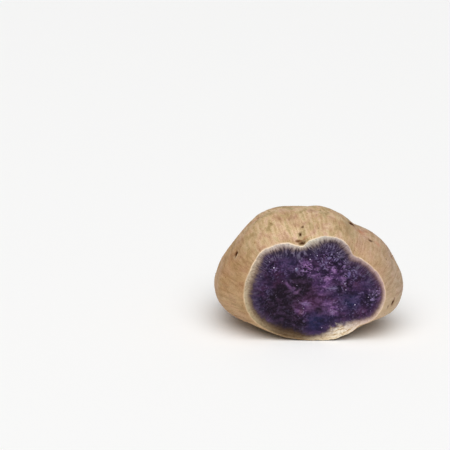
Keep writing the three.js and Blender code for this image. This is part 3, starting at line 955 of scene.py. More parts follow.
# Pale ridges beside the marks, and painted bounce light on the lower right flank.
ridged_and_bounce_lit = add_node(tree, "ShaderNodeMix",
                  {0: trait["pale_ridge"], COLOUR_A: freckled, COLOUR_B: linear("#dcc09a")},
                  data_type="RGBA").outputs[MIXED]
# Painted shade along the furrow between two humps.
furrow_shade_part = add_node(tree, "ShaderNodeMath", {0: trait["furrow"], 1: FURROW_SHADE_MOST},
                       operation="MULTIPLY").outputs[0]
furrow_shaded = add_node(tree, "ShaderNodeMix", {0: furrow_shade_part, COLOUR_A: ridged_and_bounce_lit, COLOUR_B: linear("#94805a")},
                    data_type="RGBA").outputs[MIXED]
# The side it lies on takes a soil stain, made darker still as painted shade.
soil_and_shade_part = add_node(tree, "ShaderNodeMath", {0: trait["underside"], 1: SOIL_AND_SHADE_MOST},
                operation="MULTIPLY").outputs[0]
soiled_and_shaded = add_node(tree, "ShaderNodeMix", {0: soil_and_shade_part, COLOUR_A: furrow_shaded, COLOUR_B: linear("#55391f")},
                  data_type="RGBA").outputs[MIXED]
print("with freckles, furrow and soil:", len(tree.nodes))

# %% Rubbed places, callus, the cut edge, scars and the dry neck
MOTTLE_WIDTH = 1.3  # mm, the scraps that a rubbed or healed place breaks up into

mottle = add_node(tree, "ShaderNodeTexNoise", {
    "Vector": in_mm, "Scale": 1 / MOTTLE_WIDTH, "Detail": 3.0, "Roughness": 0.7}).outputs[0]


def broken_patch(below, name, low, high, colour):
    """Lays a colour where the named attribute, broken up by a mottle, passes low to high."""
    amount = add_node(tree, "ShaderNodeAttribute", attribute_name=name).outputs["Fac"]
    total = add_node(tree, "ShaderNodeMath", {0: amount, 1: mottle}, operation="MULTIPLY")
    share = add_node(tree, "ShaderNodeMapRange", {
        "Value": total.outputs[0], "From Min": low, "From Max": high}).outputs[0]
    return add_node(tree, "ShaderNodeMix", {0: share, COLOUR_A: below, COLOUR_B: linear(colour)},
                    data_type="RGBA").outputs[MIXED]


rubbed = broken_patch(soiled_and_shaded, "scuff", 0.08, 0.70, "#b8795a")
browned = broken_patch(rubbed, "callus", 0.10, 0.34, "#7d5026")
cream_line = add_node(tree, "ShaderNodeMapRange", {
    "Value": trait["behind"], "From Min": 0.1, "From Max": 0.7, "To Min": 0.6, "To Max": 0.0}).outputs[0]
edged = add_node(tree, "ShaderNodeMix", {0: cream_line, COLOUR_A: browned, COLOUR_B: linear("#e0c3a0")},
                 data_type="RGBA").outputs[MIXED]
scarred = add_node(tree, "ShaderNodeMix",
                   {0: trait["dark_mark"], COLOUR_A: edged, COLOUR_B: linear("#43220c")},
                   data_type="RGBA").outputs[MIXED]
drying = add_node(tree, "ShaderNodeMath", {0: trait["toward_nub"], 1: streaks},
                  operation="MULTIPLY").outputs[0]
dried = add_node(tree, "ShaderNodeMapRange", {
    "Value": drying, "From Min": 0.14, "From Max": 0.50, "To Min": 0.0, "To Max": 0.95}).outputs[0]
skin_colour = add_node(tree, "ShaderNodeMix", {0: dried, COLOUR_A: scarred, COLOUR_B: linear("#77553a")},
                       data_type="RGBA").outputs[MIXED]
print("with marks:", len(tree.nodes))

# %% The skin's shine and its finest relief
TINY_BUMP = 0.00012  # metres, the height of the relief that the bump draws

skin_gloss = add_node(tree, "ShaderNodeMapRange", {
    "Value": streaks, "From Min": 0.3, "From Max": 0.7, "To Min": 0.66, "To Max": 0.50}).outputs[0]
skin_roughness = add_node(tree, "ShaderNodeMath", {0: trait["dark_mark"], 1: 0.35, 2: skin_gloss},
                          operation="MULTIPLY_ADD").outputs[0]
skin_shine = add_node(tree, "ShaderNodeMapRange", {
    "Value": trait["dark_mark"], "To Min": 0.4, "To Max": 0.05}).outputs[0]
fine_height = add_node(tree, "ShaderNodeMath", {0: streaks, 1: dust}, operation="ADD").outputs[0]
skin_bump = add_node(tree, "ShaderNodeBump",
                     {"Strength": 0.6, "Distance": TINY_BUMP, "Height": fine_height}).outputs[0]
shader = add_node(tree, "ShaderNodeBsdfPrincipled", {
    "Base Color": skin_colour, "Roughness": skin_roughness, "Specular IOR Level": skin_shine,
    "Normal": skin_bump})
add_node(tree, "ShaderNodeOutputMaterial", {"Surface": shader.outputs[0]})
print("skin finish:", len(tree.nodes), "nodes")

# %% [markdown]
# ## The flesh's finish
# The cut shows three things. Just inside the skin is the rind, a band of cream to mauve grey
# made of fine fibres that point inwards; at the thick lower right it splits in layers. Then
# the fibres fray into the violet flesh, like a comb. The flesh itself is storage tissue full
# of pigment: indigo and plum in cloudy patches, with magenta blooms that look woven, strands
# that the knife laid open, and grains of pale starch. It is moist, so it is smoother than
# the skin. It is built as the skin is, from the ground colour up, with noise in millimetres
# that the listed places strengthen or hold back.

# %% The pigment in the flesh
BEND_WIDTH, BEND_FAR = 4.5, 3.6  # mm: the clouds are drawn bent, by waves so wide and so far
CLOUD_WIDTH = 7.0  # mm
WISP_WIDTH = 3.2  # mm
TEXTURE_SHARE = 0.6  # how much the texture counts beside the amount, in a veil

flesh_finish, tree = new_material("moist_violet_flesh")
place = add_node(tree, "ShaderNodeTexCoord").outputs["Object"]
in_mm = add_node(tree, "ShaderNodeVectorMath", {0: place, "Scale": 1 / MM}, operation="SCALE").outputs[0]
bend = add_node(tree, "ShaderNodeTexNoise", {
    "Vector": in_mm, "Scale": 1 / BEND_WIDTH, "Detail": 2.0, "Roughness": 0.6}).outputs["Color"]
bent = add_node(tree, "ShaderNodeVectorMath", {0: bend, 1: (BEND_FAR,) * 3, 2: in_mm},
                operation="MULTIPLY_ADD").outputs[0]
spot = {name: add_node(tree, "ShaderNodeAttribute", attribute_name=name).outputs["Fac"] for name in (
    "depth_in", "rind_share", "bloom", "indigo", "umber_and_shadow", "plum", "speckle", "creamy_rind",
    "layering", "mauve_rind", "combing", "fray")}

clouds = add_node(tree, "ShaderNodeTexNoise", {
    "Vector": bent, "Scale": 1 / CLOUD_WIDTH, "Detail": 3.0, "Roughness": 0.6}).outputs[0]
wisps = add_node(tree, "ShaderNodeTexNoise", {
    "Vector": bent, "Scale": 1 / WISP_WIDTH, "Detail": 3.0, "Roughness": 0.65}).outputs[0]
ground = add_node(tree, "ShaderNodeValToRGB", {"Fac": clouds}, stops=[
    (0.36, "#2b1f3b"), (0.48, "#372447"), (0.58, "#412647"), (0.70, "#46263e")]).outputs[0]


def veil(below, amount, texture, low, high, colour, most=1.0):
    """Lays a colour over another where the amount, plus some texture, passes low to high."""
    total = add_node(tree, "ShaderNodeMath", {0: texture, 1: TEXTURE_SHARE, 2: amount},
                     operation="MULTIPLY_ADD").outputs[0]
    share = add_node(tree, "ShaderNodeMapRange", {
        "Value": total, "From Min": low, "From Max": high, "To Max": most}).outputs[0]
    return add_node(tree, "ShaderNodeMix", {0: share, COLOUR_A: below, COLOUR_B: linear(colour)},
                    data_type="RGBA").outputs[MIXED]


plummy = veil(ground, spot["plum"], clouds, 0.45, 1.25, "#472644")
blued = veil(plummy, spot["indigo"], clouds, 0.45, 1.15, "#27274a")
# Nearly black pigment, and at the left and lower left a painted cast shadow.
dimmed_and_shaded = veil(blued, spot["umber_and_shadow"], wisps, 0.50, 1.10, "#170d15", 0.92)
bloomed = veil(dimmed_and_shaded, spot["bloom"], wisps, 0.50, 1.30, "#69467c", 0.85)
print("nodes for the pigment:", len(tree.nodes))

# %% The weave of the tissue
WEAVE_WIDTH = 2.2  # mm
WEAVE_SHAPE = (0.45, 1.0, 1.0)  # less than 1 sideways, so its strands run from side to side

drawn_out = add_node(tree, "ShaderNodeVectorMath", {0: bent, 1: WEAVE_SHAPE},
                     operation="MULTIPLY").outputs[0]
strands = add_node(tree, "ShaderNodeTexNoise", {
    "Vector": drawn_out, "Scale": 1 / WEAVE_WIDTH, "Detail": 2.0, "Roughness": 0.5}).outputs[0]
strand_most = add_node(tree, "ShaderNodeMath", {0: spot["bloom"], 1: 0.8, 2: 0.10},
                       operation="MULTIPLY_ADD").outputs[0]
strand_share = add_node(tree, "ShaderNodeMapRange", {
    "Value": strands, "From Min": 0.48, "From Max": 0.66, "To Max": strand_most}).outputs[0]
stranded = add_node(tree, "ShaderNodeMix",
                    {0: strand_share, COLOUR_A: bloomed, COLOUR_B: linear("#956ea0")},
                    data_type="RGBA").outputs[MIXED]
gap_share = add_node(tree, "ShaderNodeMapRange", {
    "Value": strands, "From Min": 0.32, "From Max": 0.48, "To Min": 0.6, "To Max": 0.0}).outputs[0]
gapped = add_node(tree, "ShaderNodeMix", {0: gap_share, COLOUR_A: stranded, COLOUR_B: linear("#1d1222")},
                  data_type="RGBA").outputs[MIXED]
print("with the weave:", len(tree.nodes))

# %% [markdown]
# ### Strands that the knife laid open
# Here and there the knife followed a strand of tissue and opened it lengthwise, so that it
# shows as a soft stroke of its own colour, up to 6 mm long. Noise can't put a stroke in its
# place, so each is listed: a place, a size and a turn. A point's distance from the stroke,
# measured in the stroke's own half widths, tells how much of its colour it takes.

# %% Single strands of tissue
STRANDS = [  # x, z, length and width in mm, turn in degrees from level, colour
    (-3.0, 20.6, 5.8, 1.7, -12, "#8a719c"), (-12.6, 31.2, 4.2, 1.2, -46, "#704e78"),
    (-7.9, 27.4, 4.6, 1.7, 38, "#705274"), (11.2, 29.4, 5.4, 1.0, 0, "#75698a"),
    (10.9, 39.9, 2.6, 1.6, -30, "#9570a6"), (11.2, 16.3, 3.2, 1.5, 15, "#9077a0"),
    (-3.9, 39.2, 2.6, 1.4, 10, "#a287b4"), (-8.3, 39.9, 2.2, 1.4, 70, "#787a9c"),
    (-5.7, 16.0, 4.6, 2.8, 80, "#5c3e50"), (19.4, 37.0, 3.4, 1.5, 80, "#76669a"),
    (35.9, 26.3, 6.0, 1.3, 86, "#7a6592"), (30.4, 39.6, 5.0, 2.2, -48, "#4c2130"),
    (6.5, 35.0, 4.4, 1.5, 20, "#5a3c62"), (-1.0, 34.5, 5.0, 2.0, -20, "#251a28"),
]
STRAND_FRAY = 1.3  # how far the noise pushes a strand's edge, in half widths
STRAND_SOFTNESS = (-0.35, 0.75)  # full colour inside the first distance, none past the second
STRAND_MOST = 0.85  # the most of a stroke's colour that covers what is below


def strand(below, x, z, long, wide, turn, colour):
    """Lays one soft stroke of colour at a place on the cut, with a frayed edge."""
    turned = add_node(tree, "ShaderNodeVectorRotate", {
        "Vector": in_mm, "Center": (x, 0, z), "Angle": np.radians(turn)}, rotation_type="Y_AXIS").outputs[0]
    shrink = (2 / long, 0, 2 / wide)
    to_centre = (-x * shrink[0], 0, -z * shrink[2])
    offset = add_node(tree, "ShaderNodeVectorMath", {0: turned, 1: shrink, 2: to_centre},
                      operation="MULTIPLY_ADD").outputs[0]
    away = add_node(tree, "ShaderNodeVectorMath", {0: offset}, operation="LENGTH").outputs["Value"]
    ragged_away = add_node(tree, "ShaderNodeMath", {0: wisps, 1: -STRAND_FRAY, 2: away},
                           operation="MULTIPLY_ADD").outputs[0]
    amount = add_node(tree, "ShaderNodeMapRange", {
        "Value": ragged_away, "From Min": STRAND_SOFTNESS[0], "From Max": STRAND_SOFTNESS[1],
        "To Min": STRAND_MOST, "To Max": 0.0}).outputs[0]
    return add_node(tree, "ShaderNodeMix", {0: amount, COLOUR_A: below, COLOUR_B: linear(colour)},
                    data_type="RGBA").outputs[MIXED]


opened = gapped
for row in STRANDS:
    opened = strand(opened, *row)
print(len(STRANDS), "strands laid open; nodes:", len(tree.nodes))

# %% [markdown]
# ### The grain of the flesh
# Cut tissue is a mass of starch cells, in clumps that catch the light and pits between them
# that stay dark. A cell is only 0.1 mm across, far too fine to show, so the grain is drawn
# at the size of the clumps. Soft Voronoi cells give round grains, where noise would give
# smears. Where the flesh is speckled the grains turn pale, and where it is nearly black they
# keep back.


# %% Pits and flecks
def blotches(vector, width, smoothness):
    """Round soft blotches of random strength from 0 to 1, about as wide as given."""
    cells = add_node(tree, "ShaderNodeTexVoronoi",
                     {"Vector": vector, "Scale": 1 / width, "Smoothness": smoothness}, feature="SMOOTH_F1")
    return add_node(tree, "ShaderNodeSeparateColor", {0: cells.outputs["Color"]}).outputs[0]


GRAIN_WIDTH = 0.75  # mm, a clump of starch cells
CLUMP_WIDTH = 2.3  # mm, a bundle of clumps
CLUMP_WEIGHT = 0.45  # what a bundle counts beside a clump
CLUSTER_WIDTH = 5.0  # mm, areas with more flecks or fewer

fine_grain = blotches(in_mm, GRAIN_WIDTH, 0.35)
clumps = blotches(bent, CLUMP_WIDTH, 0.5)
weighed = add_node(tree, "ShaderNodeMath", {0: clumps, 1: CLUMP_WEIGHT, 2: fine_grain},
                   operation="MULTIPLY_ADD").outputs[0]
grains = add_node(tree, "ShaderNodeMath", {0: weighed, 1: 1 + CLUMP_WEIGHT}, operation="DIVIDE").outputs[0]
# Dark pits between the grains, deepest where the flesh is speckled.
pit_most = add_node(tree, "ShaderNodeMapRange", {
    "Value": spot["speckle"], "To Min": 0.35, "To Max": 1.0}).outputs[0]
pit_share = add_node(tree, "ShaderNodeMapRange", {
    "Value": grains, "From Min": 0.20, "From Max": 0.52, "To Min": pit_most, "To Max": 0.0}).outputs[0]
pitted = add_node(tree, "ShaderNodeMix", {0: pit_share, COLOUR_A: opened, COLOUR_B: linear("#120a1a")},
                  data_type="RGBA").outputs[MIXED]
# Pale flecks on the grains: lilac, and pink in the blooms.
clusters = add_node(tree, "ShaderNodeTexNoise", {
    "Vector": in_mm, "Scale": 1 / CLUSTER_WIDTH, "Detail": 2.0, "Roughness": 0.6}).outputs[0]
cluster_part = add_node(tree, "ShaderNodeMapRange", {
    "Value": clusters, "From Min": 0.42, "From Max": 0.60, "To Min": 0.0, "To Max": 0.4}).outputs[0]
fleck_most = add_node(tree, "ShaderNodeMath", {0: spot["speckle"], 1: 0.8, 2: cluster_part},
                      operation="MULTIPLY_ADD", use_clamp=True).outputs[0]
fleck_kept = add_node(tree, "ShaderNodeMapRange", {
    "Value": spot["umber_and_shadow"], "To Min": fleck_most, "To Max": 0.12}).outputs[0]
fleck_share = add_node(tree, "ShaderNodeMapRange", {
    "Value": grains, "From Min": 0.58, "From Max": 0.88, "To Min": 0.0, "To Max": fleck_kept}).outputs[0]
fleck_colour = add_node(tree, "ShaderNodeMix",
                        {0: spot["bloom"], COLOUR_A: linear("#7a6f96"), COLOUR_B: linear("#b98fc2")},
                        data_type="RGBA").outputs[MIXED]
flecked = add_node(tree, "ShaderNodeMix", {0: fleck_share, COLOUR_A: pitted, COLOUR_B: fleck_colour},
                   data_type="RGBA").outputs[MIXED]
print("with pits and flecks:", len(tree.nodes))

# %% Pale grains of starch
STARCH_SPACING = 1.7  # mm
STARCH_LARGEST = 0.28  # its radius, as a share of the spacing

# Each cell holds one grain, and fewer than half are large enough to show.
starch_cells = add_node(tree, "ShaderNodeTexVoronoi", {"Vector": in_mm, "Scale": 1 / STARCH_SPACING})
starch_pick = add_node(tree, "ShaderNodeSeparateColor", {0: starch_cells.outputs["Color"]}).outputs[0]
starch_size = add_node(tree, "ShaderNodeMapRange", {
    "Value": starch_pick, "From Min": 0.55, "From Max": 1.0, "To Min": 0.0,
    "To Max": STARCH_LARGEST}).outputs[0]
starch_edge = add_node(tree, "ShaderNodeMath", {0: starch_size, 1: starch_cells.outputs["Distance"]},
                       operation="SUBTRACT").outputs[0]
starch_share = add_node(tree, "ShaderNodeMapRange", {
    "Value": starch_edge, "From Min": 0.0, "From Max": 0.12, "To Max": spot["speckle"]}).outputs[0]
grained = add_node(tree, "ShaderNodeMix", {0: starch_share, COLOUR_A: flecked, COLOUR_B: linear("#aa9fbe")},
                   data_type="RGBA").outputs[MIXED]
print("with starch:", len(tree.nodes))

# %% [markdown]
# ### The rind and its fibres
# The rind's fibres point away from the edge of the cut, so its noise is drawn on the "fibre"
# attribute, which is stretched that way, and its layers on "layer", which runs round the
# edge. At the top the fibres part the flesh like the teeth of a comb, and the noise moves
# the border between rind and flesh by as much. At the right the border is soft and mauve.

# %% Fibres that fray into the flesh
FIBRE_WIDTH = 0.52  # mm; real ones are 0.1 to 0.2 mm, drawn coarser so that they show
FRAY_NEAR, FRAY_FAR = 3.5, 9.0  # mm from the edge, between which the fraying fades out

fibre_at = add_node(tree, "ShaderNodeAttribute", attribute_name="fibre").outputs["Vector"]
fibres = add_node(tree, "ShaderNodeTexNoise", {
    "Vector": fibre_at, "Scale": 1 / FIBRE_WIDTH, "Detail": 2.0, "Roughness": 0.6}).outputs[0]
fray_reach = add_node(tree, "ShaderNodeMapRange", {
    "Value": spot["depth_in"], "From Min": FRAY_NEAR, "From Max": FRAY_FAR, "To Min": 1.0,
    "To Max": 0.0}).outputs[0]
fray_part = add_node(tree, "ShaderNodeMath", {0: fray_reach, 1: spot["fray"]},
                     operation="MULTIPLY").outputs[0]
# Dark gaps and pale threads, over a bluish shade close to the rind.
fibre_dark = add_node(tree, "ShaderNodeMapRange", {
    "Value": fibres, "From Min": 0.40, "From Max": 0.50, "To Min": fray_part, "To Max": 0.0}).outputs[0]
fibre_light = add_node(tree, "ShaderNodeMapRange", {
    "Value": fibres, "From Min": 0.50, "From Max": 0.59, "To Max": fray_part}).outputs[0]
shade_near = add_node(tree, "ShaderNodeMapRange", {
    "Value": spot["rind_share"], "From Min": 1.2, "From Max": 3.0, "To Min": 0.6, "To Max": 0.0}).outputs[0]
shade_part = add_node(tree, "ShaderNodeMath", {0: shade_near, 1: spot["combing"]},
                      operation="MULTIPLY").outputs[0]
shaded = add_node(tree, "ShaderNodeMix", {0: shade_part, COLOUR_A: grained, COLOUR_B: linear("#1f1833")},
                  data_type="RGBA").outputs[MIXED]
parted = add_node(tree, "ShaderNodeMix", {0: fibre_dark, COLOUR_A: shaded, COLOUR_B: linear("#1a1124")},
                  data_type="RGBA").outputs[MIXED]
frayed = add_node(tree, "ShaderNodeMix", {0: fibre_light, COLOUR_A: parted, COLOUR_B: linear("#9a90ac")},
                  data_type="RGBA").outputs[MIXED]
print("with frayed fibres:", len(tree.nodes))

# %% The border between rind and flesh
border_most = add_node(tree, "ShaderNodeMapRange", {
    "Value": spot["combing"], "To Min": 0.55, "To Max": 0.15}).outputs[0]
border_part = add_node(tree, "ShaderNodeMapRange", {
    "Value": spot["rind_share"], "From Min": 0.9, "From Max": 1.7, "To Min": border_most,
    "To Max": 0.0}).outputs[0]
border_tone = add_node(tree, "ShaderNodeMix", {
    0: spot["mauve_rind"], COLOUR_A: linear("#5c4c66"), COLOUR_B: linear("#664257")},
    data_type="RGBA").outputs[MIXED]
dark_there = add_node(tree, "ShaderNodeMath", {0: spot["umber_and_shadow"], 1: spot["indigo"]},
                      operation="MAXIMUM").outputs[0]
border_kept = add_node(tree, "ShaderNodeMapRange", {
    "Value": dark_there, "To Min": 1.0, "To Max": 0.1}).outputs[0]
border_share = add_node(tree, "ShaderNodeMath", {0: border_part, 1: border_kept},
                        operation="MULTIPLY").outputs[0]
bordered = add_node(tree, "ShaderNodeMix", {0: border_share, COLOUR_A: frayed, COLOUR_B: border_tone},
                    data_type="RGBA").outputs[MIXED]
print("with the border:", len(tree.nodes))

# %% The rind's own colour
LAYER_WIDTH = 0.9  # mm

rind_tone = add_node(tree, "ShaderNodeAttribute", attribute_name="rind_tone").outputs["Color"]
line_tone = add_node(tree, "ShaderNodeAttribute", attribute_name="line_tone").outputs["Color"]
# It is clear at the skin and greyer inwards, but stays clear where it is creamy.
inner_tone = add_node(tree, "ShaderNodeValToRGB", {"Fac": spot["rind_share"]}, stops=[
    (0.0, "#ffffff"), (0.32, "#f8f5f4"), (0.58, "#c3babd"), (0.82, "#958a96"),
    (1.0, "#7b7086")]).outputs[0]
inner_part = add_node(tree, "ShaderNodeMapRange", {
    "Value": spot["creamy_rind"], "To Min": 1.0, "To Max": 0.3}).outputs[0]
deep = add_node(tree, "ShaderNodeMix", {0: inner_part, COLOUR_A: rind_tone, COLOUR_B: inner_tone},
                data_type="RGBA", blend_type="MULTIPLY").outputs[MIXED]
# Its inner half shows the fibres of the comb.
fibre_tone = add_node(tree, "ShaderNodeValToRGB", {"Fac": fibres}, stops=[
    (0.38, "#6e6474"), (0.49, "#d9d2d4"), (0.57, "#ffffff")]).outputs[0]
comb_hold = add_node(tree, "ShaderNodeMapRange", {
    "Value": spot["rind_share"], "From Min": 0.15, "From Max": 0.65, "To Min": 0.25,
    "To Max": 1.0}).outputs[0]
comb_part = add_node(tree, "ShaderNodeMath", {0: comb_hold, 1: spot["combing"]},
                     operation="MULTIPLY").outputs[0]
combed_rind = add_node(tree, "ShaderNodeMix", {0: comb_part, COLOUR_A: deep, COLOUR_B: fibre_tone},
                       data_type="RGBA", blend_type="MULTIPLY").outputs[MIXED]
# Layers, and the grain of the tissue over all.
layer_at = add_node(tree, "ShaderNodeAttribute", attribute_name="layer").outputs["Vector"]
layers = add_node(tree, "ShaderNodeTexNoise", {
    "Vector": layer_at, "Scale": 1 / LAYER_WIDTH, "Detail": 2.0, "Roughness": 0.6}).outputs[0]
layer_tone = add_node(tree, "ShaderNodeValToRGB", {"Fac": layers}, stops=[
    (0.37, "#c8ae86"), (0.45, "#f6eee0"), (0.52, "#ffffff")]).outputs[0]
layered = add_node(tree, "ShaderNodeMix",
                   {0: spot["layering"], COLOUR_A: combed_rind, COLOUR_B: layer_tone},
                   data_type="RGBA", blend_type="MULTIPLY").outputs[MIXED]
mottle_tone = add_node(tree, "ShaderNodeValToRGB", {"Fac": grains}, stops=[
    (0.20, "#dcd4cc"), (0.42, "#fbf8f5"), (0.60, "#ffffff")]).outputs[0]
mottled = add_node(tree, "ShaderNodeMix", {0: 0.8, COLOUR_A: layered, COLOUR_B: mottle_tone},
                   data_type="RGBA", blend_type="MULTIPLY").outputs[MIXED]
print("with the rind:", len(tree.nodes))

# %% The line along its edge, and the comb where it meets the flesh
LINE_WAVER = 1.6  # mm that the line at the skin wanders
BORDER_WAVER = 1.1  # how far the border with the flesh wanders, in widths of the rind
TEETH = (0.35, 1.5)  # how far the fibres push that border, in the same: elsewhere, in the comb

edge_waver = add_node(tree, "ShaderNodeMath", {0: wisps, 1: -LINE_WAVER, 2: spot["depth_in"]},
                      operation="MULTIPLY_ADD").outputs[0]
# A pale line along the skin, which comes and goes.
line_most = add_node(tree, "ShaderNodeMapRange", {
    "Value": clusters, "From Min": 0.40, "From Max": 0.56, "To Min": 0.35, "To Max": 0.95}).outputs[0]
line_part = add_node(tree, "ShaderNodeMapRange", {
    "Value": edge_waver, "From Min": -0.65, "From Max": -0.1, "To Min": line_most,
    "To Max": 0.0}).outputs[0]
lined = add_node(tree, "ShaderNodeMix", {0: line_part, COLOUR_A: mottled, COLOUR_B: line_tone},
                 data_type="RGBA").outputs[MIXED]
border_waver = add_node(tree, "ShaderNodeMath", {0: wisps, 1: -BORDER_WAVER, 2: spot["rind_share"]},
                        operation="MULTIPLY_ADD").outputs[0]
# The fibre noise moves the border in and out: gently at the sides, as teeth at the top.
teeth = add_node(tree, "ShaderNodeMapRange", {
    "Value": spot["combing"], "To Min": -TEETH[0], "To Max": -TEETH[1]}).outputs[0]
tooth = add_node(tree, "ShaderNodeMath", {0: fibres, 1: 0.5}, operation="SUBTRACT").outputs[0]
comb = add_node(tree, "ShaderNodeMath", {0: tooth, 1: teeth, 2: border_waver},
                operation="MULTIPLY_ADD").outputs[0]
# The flesh starts where that passes from one value to the other, widely apart in the mauve.
soft_start = add_node(tree, "ShaderNodeMapRange", {
    "Value": spot["mauve_rind"], "To Min": 0.12, "To Max": -0.20}).outputs[0]
soft_end = add_node(tree, "ShaderNodeMapRange", {
    "Value": spot["mauve_rind"], "To Min": 0.72, "To Max": 0.80}).outputs[0]
flesh_part = add_node(tree, "ShaderNodeMapRange", {
    "Value": comb, "From Min": soft_start, "From Max": soft_end},
    interpolation_type="SMOOTHSTEP").outputs[0]
flesh_colour = add_node(tree, "ShaderNodeMix", {0: flesh_part, COLOUR_A: lined, COLOUR_B: bordered},
                        data_type="RGBA").outputs[MIXED]
print("with the comb:", len(tree.nodes))

# %% The wet shine
# Sap fills the pits of moist tissue and makes them smooth, and its grains are a little duller.
wet = add_node(tree, "ShaderNodeMapRange", {
    "Value": grains, "From Min": 0.3, "From Max": 0.7, "To Min": 0.42, "To Max": 0.60}).outputs[0]
flesh_bump = add_node(tree, "ShaderNodeBump",
                      {"Strength": 0.6, "Distance": TINY_BUMP, "Height": grains}).outputs[0]
shader = add_node(tree, "ShaderNodeBsdfPrincipled", {
    "Base Color": flesh_colour, "Roughness": wet, "Specular IOR Level": 0.1, "Normal": flesh_bump})
add_node(tree, "ShaderNodeOutputMaterial", {"Surface": shader.outputs[0]})
print("flesh finish:", len(tree.nodes), "nodes")

# %% [markdown]
# ## The nub's finish
# The nub is dry stalk fibre: brown outside, straw where the ring of strands was torn, and
# dark in the hollow middle. It is quite dull. Its colour follows the distance from its middle,
# which is another attribute, and pores break up both the colour and the surface.

# %% The nub's torn end
PORE_WIDTH = 0.35  # mm

nub_finish, tree = new_material("dry_stalk_fibre")
place = add_node(tree, "ShaderNodeTexCoord").outputs["Object"]
in_mm = add_node(tree, "ShaderNodeVectorMath", {0: place, "Scale": 1 / MM}, operation="SCALE").outputs[0]
pores = add_node(tree, "ShaderNodeTexNoise", {
    "Vector": in_mm, "Scale": 1 / PORE_WIDTH, "Detail": 3.0, "Roughness": 0.7}).outputs[0]
outward_share = add_node(tree, "ShaderNodeAttribute", attribute_name="nub_share").outputs["Fac"]
uneven_share = add_node(tree, "ShaderNodeMath", {0: pores, 1: 0.35, 2: outward_share},
                        operation="MULTIPLY_ADD").outputs[0]
tissue = add_node(tree, "ShaderNodeValToRGB", {"Fac": uneven_share}, stops=[
    (0.45, "#4a3424"), (0.62, "#7b5c3f"), (0.76, "#b3946a"), (0.95, "#9c7b53"),
    (1.0, "#7a5a3a")]).outputs[0]
pore_tone = add_node(tree, "ShaderNodeValToRGB", {"Fac": pores}, stops=[
    (0.36, "#7a6a5c"), (0.50, "#d8cec4"), (0.62, "#ffffff")]).outputs[0]
nub_colour = add_node(tree, "ShaderNodeMix", {0: 0.9, COLOUR_A: tissue, COLOUR_B: pore_tone},
                      data_type="RGBA", blend_type="MULTIPLY").outputs[MIXED]
nub_bump = add_node(tree, "ShaderNodeBump",
                    {"Strength": 0.8, "Distance": 2 * TINY_BUMP, "Height": pores}).outputs[0]
shader = add_node(tree, "ShaderNodeBsdfPrincipled", {
    "Base Color": nub_colour, "Roughness": 0.85, "Specular IOR Level": 0.2, "Normal": nub_bump})
add_node(tree, "ShaderNodeOutputMaterial", {"Surface": shader.outputs[0]})
print("nub finish:", len(tree.nodes), "nodes")

# %% Each finish goes on its own faces
SKIN, FLESH, NUB = 0, 1, 2
for finish in (skin_finish, flesh_finish, nub_finish):
    yam_mesh.materials.append(finish)
quad_rows = np.repeat(np.arange(len(rows) - 1), SPOKES)
finish_of = np.full(len(yam_mesh.polygons), SKIN, dtype=np.int32)
finish_of[: len(quads)][quad_rows < face_rings] = FLESH
finish_of[: len(quads)][quad_rows >= face_rings + skin_rings - 1] = NUB
finish_of[len(quads) : len(quads) + SPOKES] = FLESH
finish_of[len(quads) + SPOKES :] = NUB
yam_mesh.polygons.foreach_set("material_index", finish_of)
print("faces of skin, flesh and nub:", np.bincount(finish_of).tolist())

# %% [markdown]
# ## The small things that stand on it
# Freshly cut flesh lets out beads of milky sap, thickest where it is speckled; most are under
# half a millimetre wide. The skin has lenticels, little raised corky pores that it breathes
# through. Thin dry rootlets are left in some eyes, and the broken nub ends in a brush of stiff
# fibres. All of them repeat, so two Geometry Nodes trees make them: one scatters domes on a
# surface, and one plants tapered hairs at given points. Modelling each by hand would take
# days. Shapes this small need only a few dozen faces.


# %% How a tree is started, and how its result becomes a plain mesh
def new_shape_tree(name, **kinds):
    """A Geometry Nodes tree with one input of each named kind, and its input sockets."""
    tree = bpy.data.node_groups.new(name, "GeometryNodeTree")
    tree.interface.new_socket("Ground", in_out="INPUT", socket_type="NodeSocketGeometry")
    for label, kind in kinds.items():
        tree.interface.new_socket(label, in_out="INPUT", socket_type="NodeSocket" + kind)
    tree.interface.new_socket("Shapes", in_out="OUTPUT", socket_type="NodeSocketGeometry")
    return tree, add_node(tree, "NodeGroupInput").outputs


def finish_tree(tree, instances, finish):
    """Ends a tree: its instances are made real, smooth and of one material."""
    real = add_node(tree, "GeometryNodeRealizeInstances", {0: instances}).outputs[0]
    smooth = add_node(tree, "GeometryNodeSetShadeSmooth", {0: real}).outputs[0]
    dressed = add_node(tree, "GeometryNodeSetMaterial", {0: smooth, "Material": finish}).outputs[0]
    add_node(tree, "NodeGroupOutput", {0: dressed})


def grow(name, ground, tree, **values):
    """Runs a tree on a mesh and keeps the result as a plain object that rides on the yam's body."""
    bed = bpy.data.objects.new(name + "_ground", ground)
    bpy.context.collection.objects.link(bed)
    modifier = bed.modifiers.new("shapes", "NODES")
    modifier.node_group = tree
    for item in tree.interface.items_tree:
        if item.name in values:
            modifier[item.identifier] = values[item.name]
    evaluated = bed.evaluated_get(bpy.context.evaluated_depsgraph_get())
    plain = bpy.data.objects.new(name, bpy.data.meshes.new_from_object(evaluated))
    bpy.context.collection.objects.link(plain)
    bpy.data.objects.remove(bed)
    triangles = sum(len(p.vertices) - 2 for p in plain.data.polygons)
    print(name + ":", triangles, "triangles")
    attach(plain, "root")
    return plain


